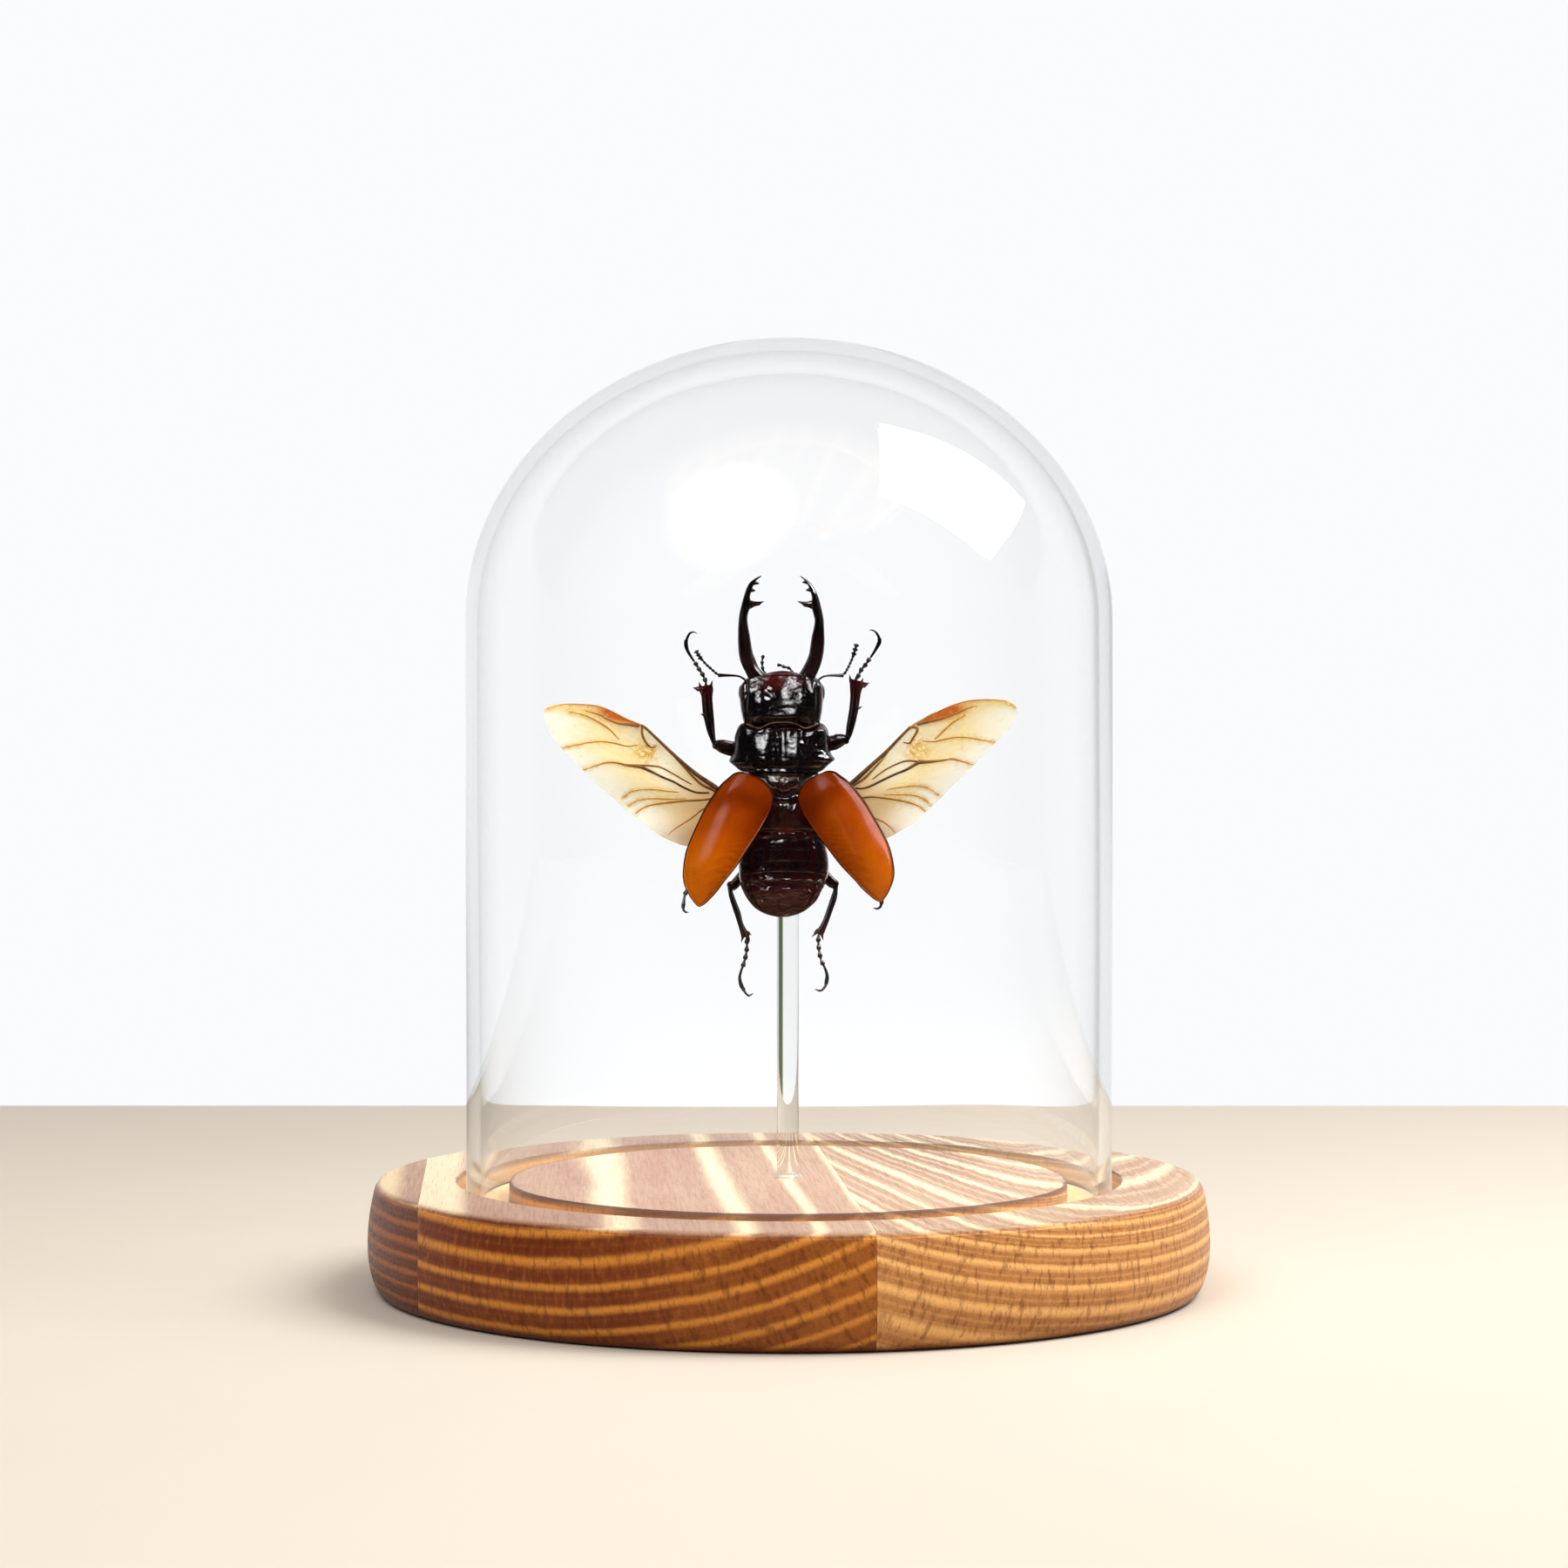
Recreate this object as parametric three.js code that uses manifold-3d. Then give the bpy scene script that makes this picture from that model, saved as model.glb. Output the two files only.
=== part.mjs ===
// A stag beetle spread in flight, glued to a clear rod under a glass dome on a round wooden base.
// Millimetres, +Z up. The origin is the centre of the base's underside. The beetle's back faces -Y
// and its head points up.
import * as THREE from 'three';
import { mergeVertices } from 'three/addons/utils/BufferGeometryUtils.js';
import Module from 'manifold-3d';

const wasm = await Module();
wasm.setup();

// Clearance between neighbouring solids.
const GAP = 0.3;

// Wooden base: flat top, bulging side, glued up from three parallel staves.
const BASE_HEIGHT = 17;
const BASE_TOP_RADIUS = 63.6;
const BASE_WIDEST_RADIUS = 65;
const BASE_WIDEST_HEIGHT = 7.5;
const BASE_BOTTOM_RADIUS = 62.2;
const BASE_SEGMENTS = 56;
const STAVE_TURN = THREE.MathUtils.degToRad(3.9);
const SEAM_LEFT = -56.5;
const SEAM_RIGHT = 7.9;

// Ring groove that the dome stands in.
const GROOVE_OUTER_RADIUS = 51.35;
const GROOVE_INNER_RADIUS = 43.2;
const GROOVE_DEPTH = 3.5;

// Glass dome: a straight wall with half an ellipse on top.
const DOME_RADIUS = 50;
const DOME_WALL = 2;
const DOME_FOOT_HEIGHT = BASE_HEIGHT - GROOVE_DEPTH + GAP;
const DOME_SPRING_HEIGHT = 103.2;
const DOME_RISE = 43.5;
const DOME_LIP = 0.5;
const DOME_SEGMENTS = 44;
const DOME_CAP_STEPS = 9;

// Clear rod that carries the beetle, with a bead of glue at its foot and a dab at its top.
const ROD_RADIUS = 1.7;
const ROD_PLACE = new THREE.Vector2(-0.15, 0.3);
const ROD_TOP_HEIGHT = 76;
const BEAD_RADIUS = 2.5;
const BEAD_HEIGHT = 0.8;
const DAB_SIZE = new THREE.Vector3(2.4, 0.75, 3.4);

// The beetle's own frame starts on its midline at the rear edge of the pronotum.
const BEETLE_PLACE = new THREE.Vector3(-1.1, -7.5, 79.6);

// Colours from the object, with roughness and metalness.
const FINISH = {
  pine: { color: 0x8a5427, roughness: 0.45, metalness: 0 },
  glass: { color: 0xf2f6f5, roughness: 0.03, metalness: 0, transparent: true, opacity: 0.2 },
  glue: { color: 0xeee6cf, roughness: 0.2, metalness: 0, transparent: true, opacity: 0.5 },
  cuticle: { color: 0x160c0a, roughness: 0.2, metalness: 0 },
  mandible: { color: 0x2a0f0b, roughness: 0.2, metalness: 0 },
  elytron: { color: 0x9c4610, roughness: 0.25, metalness: 0 },
  wing: { color: 0xc79a55, roughness: 0.4, metalness: 0 },
};

const vec2 = (x, y) => new THREE.Vector2(x, y);
const vec3 = (x, y, z) => new THREE.Vector3(x, y, z);

/** A named mesh with a material of its own. */
function piece(name, geometry, finish) {
  const mesh = new THREE.Mesh(geometry, new THREE.MeshStandardMaterial(FINISH[finish]));
  mesh.name = name;
  return mesh;
}

/** A closed geometry as a solid that can be joined or cut. */
function toSolid(geometry) {
  const bare = geometry.clone();
  bare.deleteAttribute('normal');
  bare.deleteAttribute('uv');
  const merged = mergeVertices(bare, 1e-4);
  return new wasm.Manifold(new wasm.Mesh({
    numProp: 3,
    vertProperties: new Float32Array(merged.attributes.position.array),
    triVerts: new Uint32Array(merged.index.array),
  }));
}

/** The geometry of a joined or cut solid. */
function toGeometry(solid) {
  const mesh = solid.getMesh();
  const geometry = new THREE.BufferGeometry();
  geometry.setAttribute('position', new THREE.BufferAttribute(mesh.vertProperties, 3));
  geometry.setIndex(new THREE.BufferAttribute(mesh.triVerts, 1));
  geometry.computeVertexNormals();
  return geometry;
}

/** One geometry from several closed ones that overlap. */
function joined(geometries) {
  const [first, ...others] = geometries.map(toSolid);
  return toGeometry(others.reduce((whole, next) => whole.add(next), first));
}

/** A body turned about Z from a profile of (radius, height) points. */
function turned(profile, segments) {
  return new THREE.LatheGeometry(profile, segments).rotateX(Math.PI / 2);
}

/** A tube of even radius through the points. */
function tube(points, radius, steps, sides = 6) {
  const ring = new THREE.Shape();
  ring.absarc(0, 0, radius, 0, Math.PI * 2);
  return new THREE.ExtrudeGeometry(ring, {
    steps,
    curveSegments: sides,
    bevelEnabled: false,
    extrudePath: new THREE.CatmullRomCurve3(points),
  });
}

/** A plate standing in the XZ plane, half its thickness to each side of it. */
function plate(shape, thickness, curveSegments) {
  const geometry = new THREE.ExtrudeGeometry(shape, {
    depth: thickness,
    bevelEnabled: false,
    curveSegments,
  });
  return geometry.translate(0, 0, -thickness / 2).rotateX(Math.PI / 2);
}

/** Pushes every point of a geometry along Y by a function of its x and z. */
function pushed(geometry, depthAt) {
  const places = geometry.attributes.position;
  for (let i = 0; i < places.count; i += 1) {
    places.setY(i, places.getY(i) + depthAt(places.getX(i), places.getZ(i)));
  }
  geometry.computeVertexNormals();
  return geometry;
}

// ---------------------------------------------------------------- wooden base

/** The radius of the bulging side at a height. */
function sideRadius(height) {
  if (height > BASE_WIDEST_HEIGHT) {
    const rise = (height - BASE_WIDEST_HEIGHT) / (BASE_HEIGHT - BASE_WIDEST_HEIGHT);
    return BASE_WIDEST_RADIUS - (BASE_WIDEST_RADIUS - BASE_TOP_RADIUS) * rise ** 2;
  }
  const drop = 1 - height / BASE_WIDEST_HEIGHT;
  return BASE_BOTTOM_RADIUS + (BASE_WIDEST_RADIUS - BASE_BOTTOM_RADIUS) * Math.sqrt(1 - drop ** 2);
}

function basePieces() {
  const sideHeights = [0, 1.2, 3.6, BASE_WIDEST_HEIGHT, 12, BASE_HEIGHT];
  const grooveFloor = BASE_HEIGHT - GROOVE_DEPTH;
  const profile = [
    vec2(0, 0),
    ...sideHeights.map((height) => vec2(sideRadius(height), height)),
    vec2(GROOVE_OUTER_RADIUS, BASE_HEIGHT),
    vec2(GROOVE_OUTER_RADIUS, grooveFloor),
    vec2(GROOVE_INNER_RADIUS, grooveFloor),
    vec2(GROOVE_INNER_RADIUS, BASE_HEIGHT),
    vec2(0, BASE_HEIGHT),
  ];
  const disc = toSolid(turned(profile, BASE_SEGMENTS));
  const far = BASE_WIDEST_RADIUS + 5;
  const staves = {
    base_stave_left: [-far, SEAM_LEFT - GAP / 2],
    base_stave_middle: [SEAM_LEFT + GAP / 2, SEAM_RIGHT - GAP / 2],
    base_stave_right: [SEAM_RIGHT + GAP / 2, far],
  };
  return Object.entries(staves).map(([name, [from, to]]) => {
    const strip = new THREE.BoxGeometry(to - from, 2 * far, 2 * far);
    strip.translate((from + to) / 2, 0, 0).rotateZ(STAVE_TURN);
    return piece(name, toGeometry(disc.intersect(toSolid(strip))), 'pine');
  });
}

// ---------------------------------------------------------------- glass dome and rod

/** Half of the crown's profile, from the wall up to the apex. */
function crown(radius, rise) {
  return Array.from({ length: DOME_CAP_STEPS + 1 }, (_, i) => {
    const angle = (i / DOME_CAP_STEPS) * Math.PI / 2;
    const isApex = i === DOME_CAP_STEPS;
    return vec2(isApex ? 0 : radius * Math.cos(angle), DOME_SPRING_HEIGHT + rise * Math.sin(angle));
  });
}

function domePiece() {
  const innerRadius = DOME_RADIUS - DOME_WALL;
  const profile = [
    ...crown(innerRadius, DOME_RISE - DOME_WALL).reverse(),
    vec2(innerRadius, DOME_FOOT_HEIGHT + DOME_LIP),
    vec2(innerRadius + DOME_LIP, DOME_FOOT_HEIGHT),
    vec2(DOME_RADIUS - DOME_LIP, DOME_FOOT_HEIGHT),
    vec2(DOME_RADIUS, DOME_FOOT_HEIGHT + DOME_LIP),
    ...crown(DOME_RADIUS, DOME_RISE),
  ];
  return piece('glass_dome', turned(profile, DOME_SEGMENTS), 'glass');
}

function rodPieces() {
  const foot = BASE_HEIGHT + GAP;
  const length = ROD_TOP_HEIGHT - foot;
  const rod = piece(
    'support_rod',
    new THREE.CylinderGeometry(ROD_RADIUS, ROD_RADIUS, length, 16).rotateX(Math.PI / 2),
    'glass',
  );
  rod.position.set(ROD_PLACE.x, ROD_PLACE.y, foot + length / 2);

  const beadInner = ROD_RADIUS + GAP;
  const bead = piece('foot_glue', turned([
    vec2(beadInner, 0),
    vec2(BEAD_RADIUS, 0),
    vec2(BEAD_RADIUS, BEAD_HEIGHT / 3),
    vec2(beadInner, BEAD_HEIGHT),
    vec2(beadInner, 0),
  ], 16), 'glue');
  bead.position.set(ROD_PLACE.x, ROD_PLACE.y, foot);

  const rodFront = ROD_PLACE.y - ROD_RADIUS;
  const dab = piece('body_glue', new THREE.SphereGeometry(1, 12, 8), 'glue');
  dab.scale.copy(DAB_SIZE);
  dab.position.set(ROD_PLACE.x, rodFront - GAP - DAB_SIZE.y, ROD_TOP_HEIGHT - DAB_SIZE.z);
  return [rod, bead, dab];
}

// ---------------------------------------------------------------- beetle: body

/** A body segment: half widths by height along the body, flattened from back to belly. */
function segment(name, profile, depth, segments = 18) {
  const halfWidth = Math.max(...profile.map((point) => point.x));
  const geometry = turned(profile, segments).scale(1, depth / (2 * halfWidth), 1);
  return piece(name, geometry, 'cuticle');
}

function bodyPieces() {
  const head = segment('head', [
    vec2(0, 7.9), vec2(4.7, 7.9), vec2(5.8, 8.8), vec2(6.3, 10.6), vec2(6.35, 12.3),
    vec2(5.8, 14), vec2(4.4, 15.2), vec2(0, 15.5),
  ], 6);
  const pronotum = segment('pronotum', [
    vec2(0, 0), vec2(5.6, 0), vec2(7, 1.1), vec2(8.1, 2), vec2(7.3, 3), vec2(7.2, 5.6),
    vec2(6.7, 7), vec2(5.2, 7.6), vec2(0, 7.6),
  ], 7.6);
  const mesothorax = segment('mesothorax', [
    vec2(0, -3), vec2(5.4, -3), vec2(5.8, -1.6), vec2(5, -0.3), vec2(0, -0.3),
  ], 7.4);
  const metathorax = segment('metathorax', [
    vec2(0, -9.6), vec2(6, -9.6), vec2(6.6, -8), vec2(6.6, -5), vec2(5.9, -3.3), vec2(0, -3.3),
  ], 8.2);
  const abdomen = segment('abdomen', [
    vec2(0, -21.8), vec2(1.4, -21.6), vec2(3.3, -20.9), vec2(4.9, -19.6), vec2(6, -17.8),
    vec2(6.7, -15.6), vec2(6.8, -13.4), vec2(6.4, -11), vec2(5.8, -9.9), vec2(0, -9.9),
  ], 6.8);
  mesothorax.position.x = 0.3;
  metathorax.position.x = 0.3;
  abdomen.position.x = 0.25;
  return [head, pronotum, mesothorax, metathorax, abdomen];
}

// ---------------------------------------------------------------- beetle: head parts

const MANDIBLE_THICKNESS = 2.2;

/** A stag beetle's jaw: an outward bow with one large tooth and two small ones near the tip. */
function mandible(name, side) {
  const at = (x, z) => vec2(side * x, z);
  const shape = new THREE.Shape();
  shape.moveTo(side * 2.6, 15.85);
  shape.lineTo(side * 5.1, 15.85);
  shape.splineThru([at(6, 17.2), at(6.5, 20.5), at(6.4, 24), at(5.8, 27), at(4.8, 29.2), at(2.9, 30.4)]);
  shape.lineTo(side * 3.4, 29.2);
  shape.lineTo(side * 4.2, 28.7);
  shape.lineTo(side * 3.8, 28);
  shape.lineTo(side * 4.7, 27);
  shape.lineTo(side * 2.6, 26.3);
  shape.splineThru([at(4.3, 25.4), at(5, 23.6), at(4.6, 21), at(4.2, 18.5), at(2.6, 15.85)]);
  return piece(name, plate(shape, MANDIBLE_THICKNESS, 3), 'mandible');
}

function palp(name, points) {
  return piece(name, tube(points, 0.3, 5), 'cuticle');
}

/** An elbowed antenna: a long first joint, a thin whip and a small club. */
function antenna(name, root, elbow, whip, tip) {
  const direction = tip.clone().sub(whip);
  const club = new THREE.SphereGeometry(1, 8, 6);
  club.scale(0.42, 0.42, direction.length() / 2 + 0.3);
  club.applyQuaternion(new THREE.Quaternion().setFromUnitVectors(
    vec3(0, 0, 1),
    direction.clone().normalize(),
  ));
  const middle = whip.clone().add(tip).multiplyScalar(0.5);
  club.translate(middle.x, middle.y, middle.z);
  return piece(name, joined([
    tube([root, elbow], 0.42, 2),
    tube([elbow, whip], 0.3, 3),
    club,
  ]), 'cuticle');
}

function headParts() {
  return [
    mandible('mandible_left', -1),
    mandible('mandible_right', 1),
    palp('palp_left', [vec3(-2.4, 1.8, 15.8), vec3(-3, 1.6, 16.7), vec3(-2.9, 1.4, 18.2)]),
    palp('palp_right', [vec3(1.6, 1.8, 15.8), vec3(0.8, 1.6, 16.3), vec3(-0.8, 1.4, 16.7)]),
    antenna(
      'antenna_left',
      vec3(-6.4, 0.8, 14.5), vec3(-9.7, 0.4, 15.2), vec3(-12.4, 0, 17.8), vec3(-13, -0.2, 18.8),
    ),
    antenna(
      'antenna_right',
      vec3(6.4, 0.8, 14.5), vec3(9.6, 0.4, 15.2), vec3(11, 0, 18.3), vec3(11.4, -0.2, 19.8),
    ),
  ];
}

// ---------------------------------------------------------------- beetle: wing cases and wings

const ELYTRON_THICKNESS = 0.5;
const ELYTRON_HALF_WIDTH = 5.3;
const ELYTRON_BULGE = 1.7;
const ELYTRON_LENGTH = 20.9;
const ELYTRON_LIFT = THREE.MathUtils.degToRad(5);
const ELYTRON_OPENING_LEFT = THREE.MathUtils.degToRad(22.8);
const ELYTRON_OPENING_RIGHT = THREE.MathUtils.degToRad(27.4);

/** A wing case hanging from its hinge, bulging towards the back of the beetle. */
function elytron(name, side, hinge, opening) {
  const at = (x, z) => vec2(side * x, z);
  const shape = new THREE.Shape();
  shape.moveTo(0, 0.7);
  shape.splineThru([
    at(2.2, 0.5), at(3.7, -1.1), at(4.7, -3.4), at(5.1, -7), at(5.3, -11), at(4.9, -14.9),
    at(3.9, -17.7), at(2, -20), at(0, -ELYTRON_LENGTH),
  ]);
  shape.splineThru([
    at(-1.1, -19), at(-2, -16), at(-2.9, -11.9), at(-3.7, -7.9), at(-4.1, -4), at(-3.8, -1.4),
    at(-2.3, 0.3), at(0, 0.7),
  ]);
  const geometry = pushed(plate(shape, ELYTRON_THICKNESS, 2), (x, z) => {
    const across = (x - side * 0.8) / ELYTRON_HALF_WIDTH;
    const along = THREE.MathUtils.clamp((z + ELYTRON_LENGTH) / 9, 0, 1);
    return -ELYTRON_BULGE * (1 - across ** 2) * (0.35 + 0.65 * along);
  });
  const mesh = piece(name, geometry, 'elytron');
  mesh.position.copy(hinge);
  mesh.rotation.set(-ELYTRON_LIFT, -side * opening, 0);
  return mesh;
}

const WING_THICKNESS = 0.3;
const WING_PLANE = -2.6;
const WING_ROOT = 7.2;
const WING_CURL = 0.0022;
const WING_TURN = THREE.MathUtils.degToRad(-0.8);

/** A spread hind wing, folded a little along its front bar and curling forward at the tip. */
function hindWing(name, side) {
  const at = (x, z) => vec2(side * x, z);
  const shape = new THREE.Shape();
  shape.moveTo(side * WING_ROOT, -4.2);
  shape.splineThru([
    at(10.2, -1.6), at(13, 0.7), at(15.7, 3.1), at(18.3, 5.7), at(20.4, 7.6), at(23.7, 9.2),
    at(27.7, 10.8), at(33, 11.1), at(35.7, 10.2),
  ]);
  shape.splineThru([
    at(35.3, 7.8), at(33.5, 5.2), at(29.9, 1.4), at(26, -2.4), at(21.2, -6.9), at(17.3, -9.4),
    at(13.5, -10.8), at(WING_ROOT, -9.4),
  ]);
  const geometry = pushed(
    plate(shape, WING_THICKNESS, 2),
    (x) => -WING_CURL * (Math.abs(x) - WING_ROOT) ** 2,
  );
  const mesh = piece(name, geometry, 'wing');
  mesh.position.y = WING_PLANE;
  mesh.rotation.y = WING_TURN;
  return mesh;
}

function wingPieces() {
  return [
    elytron('elytron_left', -1, vec3(-4.2, -4.6, -1), ELYTRON_OPENING_LEFT),
    elytron('elytron_right', 1, vec3(5.2, -4.6, -1), ELYTRON_OPENING_RIGHT),
    hindWing('hindwing_left', -1),
    hindWing('hindwing_right', 1),
  ];
}

// ---------------------------------------------------------------- beetle: legs

const LATHE_AXIS = vec3(0, 1, 0);

/** A straight leg joint from one point to another, its radius given at parts of its length. */
function limb(name, start, end, radii) {
  const reach = end.clone().sub(start);
  const profile = radii.map(([share, radius]) => vec2(radius, share * reach.length()));
  const mesh = piece(name, new THREE.LatheGeometry(profile, 8), 'cuticle');
  mesh.position.copy(start);
  mesh.quaternion.setFromUnitVectors(LATHE_AXIS, reach.clone().normalize());
  return mesh;
}

const FEMUR_RADII = [[0, 0], [0.02, 0.6], [0.35, 1.05], [0.75, 0.85], [0.97, 0.5], [1, 0]];
const TIBIA_RADII = [[0, 0], [0.03, 0.4], [0.5, 0.55], [0.95, 0.8], [1, 0]];
const FRONT_TIBIA_RADII = [[0, 0], [0.04, 0.5], [0.5, 0.85], [0.92, 1.3], [1, 0]];
const TARSUS_RADIUS = 0.34;

// Each leg runs from its hip over the knee and the end of the shin to the foot's last joint.
const LEGS = [
  {
    name: 'foreleg_left',
    hip: vec3(-3.2, 4.8, 3.2),
    knee: vec3(-10.3, 3, 4.5),
    shinEnd: vec3(-11.8, 1.6, 13.7),
    foot: [vec3(-11.8, 1.5, 14.3), vec3(-12.8, 1.3, 16.6), vec3(-14.5, 1, 19.8), vec3(-12.8, 0.8, 21.5)],
    shinRadii: FRONT_TIBIA_RADII,
  },
  {
    name: 'foreleg_right',
    hip: vec3(3.2, 4.8, 3.2),
    knee: vec3(9.8, 3, 5.4),
    shinEnd: vec3(11.7, 1.6, 14.5),
    foot: [vec3(11.8, 1.5, 15), vec3(13, 1.3, 17), vec3(14.9, 1, 20.5), vec3(13.6, 0.8, 22)],
    shinRadii: FRONT_TIBIA_RADII,
  },
  {
    name: 'midleg_left',
    hip: vec3(-3.4, 5.2, -5.2),
    knee: vec3(-10.6, 4.4, -8.2),
    shinEnd: vec3(-13.2, 3.4, -14.8),
    foot: [vec3(-13.4, 3.2, -15.3), vec3(-14.3, 2.6, -17.4), vec3(-15, 2, -19.4), vec3(-14.5, 1.8, -21)],
    shinRadii: TIBIA_RADII,
  },
  {
    name: 'midleg_right',
    hip: vec3(4, 5.2, -5.2),
    knee: vec3(11.2, 4.4, -8),
    shinEnd: vec3(14.2, 3.4, -14.4),
    foot: [vec3(14.4, 3.2, -14.9), vec3(15.1, 2.6, -17), vec3(15.3, 2, -19.4), vec3(14.2, 1.8, -20.6)],
    shinRadii: TIBIA_RADII,
  },
  {
    name: 'hindleg_left',
    hip: vec3(-2.4, 5.2, -10.4),
    knee: vec3(-7.8, 3.2, -17.2),
    shinEnd: vec3(-5.4, 2.2, -25),
    foot: [vec3(-5.3, 2.1, -25.6), vec3(-5.5, 2, -28.4), vec3(-6.4, 1.8, -31.6), vec3(-4.9, 1.6, -33.7)],
    shinRadii: TIBIA_RADII,
  },
  {
    name: 'hindleg_right',
    hip: vec3(2.9, 5.2, -10.4),
    knee: vec3(8.1, 3.2, -17.2),
    shinEnd: vec3(5.6, 2.2, -24.7),
    foot: [vec3(5.5, 2.1, -25.3), vec3(5.9, 2, -28), vec3(6.8, 1.8, -31.4), vec3(5.2, 1.6, -33)],
    shinRadii: TIBIA_RADII,
  },
];

/** A point moved a little from one point towards another. */
function towards(from, to, distance) {
  return from.clone().addScaledVector(to.clone().sub(from).normalize(), distance);
}

function legPieces() {
  return LEGS.flatMap(({ name, hip, knee, shinEnd, foot, shinRadii }) => [
    limb(`${name}_femur`, hip, knee, FEMUR_RADII),
    limb(`${name}_tibia`, towards(knee, shinEnd, GAP + 0.15), shinEnd, shinRadii),
    piece(`${name}_tarsus`, tube([towards(shinEnd, foot[0], GAP), ...foot], TARSUS_RADIUS, 10), 'cuticle'),
  ]);
}

// ---------------------------------------------------------------- assembly

const beetle = new THREE.Group();
beetle.position.copy(BEETLE_PLACE);
beetle.add(...bodyPieces(), ...headParts(), ...wingPieces(), ...legPieces());

const object = new THREE.Group();
object.add(...basePieces(), domePiece(), ...rodPieces(), beetle);

export default object;
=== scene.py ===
"""A stag beetle in flight pose on a clear rod, under a glass dome on a round pine base.

Shapes are worked out in millimetres in the part's frame (+Z up, origin in the middle of the base's
underside) and go into their meshes in metres. The beetle has a frame of its own, which starts on its
midline at the rear edge of the pronotum. Its back faces -Y and its head points up.
"""

import logging
import math
from dataclasses import dataclass, field
from enum import Enum

import bmesh
import bpy
import numpy as np
from mathutils import Euler, Matrix, Vector


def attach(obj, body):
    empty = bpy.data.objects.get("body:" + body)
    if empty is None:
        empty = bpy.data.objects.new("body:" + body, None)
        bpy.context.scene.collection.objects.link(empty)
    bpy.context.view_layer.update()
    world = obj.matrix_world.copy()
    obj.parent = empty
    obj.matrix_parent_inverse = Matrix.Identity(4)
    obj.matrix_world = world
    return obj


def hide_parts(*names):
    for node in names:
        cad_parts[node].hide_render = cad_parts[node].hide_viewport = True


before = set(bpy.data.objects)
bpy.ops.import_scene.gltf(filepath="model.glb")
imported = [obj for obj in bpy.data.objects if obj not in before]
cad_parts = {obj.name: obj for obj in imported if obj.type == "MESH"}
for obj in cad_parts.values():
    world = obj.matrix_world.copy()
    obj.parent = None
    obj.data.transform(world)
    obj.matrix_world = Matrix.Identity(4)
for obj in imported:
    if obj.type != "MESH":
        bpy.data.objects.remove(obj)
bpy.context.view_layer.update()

log = logging.getLogger("beetle_dome")
Array = np.ndarray
Material, Node = bpy.types.Material, bpy.types.Node
Socket, Tree = bpy.types.NodeSocket, bpy.types.NodeTree
Point = tuple[float, float, float]
Flat = tuple[float, float]
Colour = tuple[float, float, float, float]

MM = 0.001
PER_METRE = (1000, 1000, 1000)  # metres to millimetres in shaders
GRAIN_TURN = 3.9  # degrees from the disc's y axis to its grain
PART_ORIGIN = np.zeros(3)
BEETLE_PLACE = np.array([-1.1, -7.5, 79.6])


class Side(Enum):
    """The viewer's left or right, as the sign of x in the beetle's frame."""

    LEFT = -1
    RIGHT = 1

    @property
    def word(self) -> str:
        """The side's name as it stands in node names."""
        return self.name.lower()


def srgb(red: float, green: float, blue: float) -> Colour:
    """A colour given as 0-255 display values.

    Args:
        red, green, blue: display values.
    Returns:
        The linear colour with full alpha.
    """
    share = np.array([red, green, blue]) / 255
    linear = np.where(share <= 0.04045, share / 12.92, ((share + 0.055) / 1.055) ** 2.4)
    return (*(float(value) for value in linear), 1.0)


# ---- surfaces


def smooth_path(points: list, count: int) -> Array:
    """A smooth curve through points: a Catmull-Rom spline, resampled to steps of equal length.

    Args:
        points: the points it passes, 2-D or 3-D.
        count: how many points to return.
    Returns:
        An array (count, 2 or 3).
    """
    p = np.asarray(points, float)
    if len(p) == 2:
        return p[0] + (p[1] - p[0]) * np.linspace(0, 1, count)[:, None]
    padded = np.vstack([2 * p[0] - p[1], p, 2 * p[-1] - p[-2]])
    u = np.linspace(0, len(p) - 1, 12 * len(p))
    i = np.minimum(u.astype(int), len(p) - 2)
    t = (u - i)[:, None]
    a, b, c, d = (padded[i + k] for k in range(4))
    curve = 0.5 * (2 * b + (c - a) * t + (2 * a - 5 * b + 4 * c - d) * t**2
                   + (3 * b - a - 3 * c + d) * t**3)
    walked = np.concatenate([[0], np.cumsum(np.linalg.norm(np.diff(curve, axis=0), axis=1))])
    at = np.linspace(0, walked[-1], count)
    return np.stack([np.interp(at, walked, curve[:, k]) for k in range(p.shape[1])], axis=1)


def trace(*numbers: float) -> list[Flat]:
    """Points in a plane from their coordinates in a row."""
    return list(zip(numbers[::2], numbers[1::2]))


def rounded(cosine: Array, power: float) -> Array:
    """One coordinate of a superellipse: the signed power 2 / power of a cosine or sine."""
    return np.sign(cosine) * np.abs(cosine) ** (2 / power)


def bump(value: Array, middle: float, width: float) -> Array:
    """A bell curve of height 1 at middle, one width wide to each side."""
    return np.exp(-(((value - middle) / width) ** 2))


def ramp(value: Array, start: float, end: float) -> Array:
    """A smooth step from 0 at start to 1 at end."""
    t = np.clip((value - start) / (end - start), 0, 1)
    return t * t * (3 - 2 * t)


def ripple(points: Array, wavelength: float, seed: int) -> Array:
    """Uneven waves over a surface: the mean of seven sines in seeded random directions.

    Args:
        points: places (..., 3).
        wavelength: typical distance between crests.
        seed: chooses the directions and phases.
    Returns:
        Heights between about -1 and 1.
    """
    random = np.random.default_rng(seed)
    ways = random.normal(size=(7, 3))
    ways *= (2 * math.pi / wavelength * random.uniform(0.7, 1.5, 7) / np.linalg.norm(ways, axis=1))[:, None]
    return np.sin(points @ ways.T + random.uniform(0, 6.28, 7)).mean(axis=-1) * 1.8


def circle(count: int) -> Array:
    """Even angles once round, without the last."""
    return np.linspace(0, 2 * math.pi, count, endpoint=False)


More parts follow.
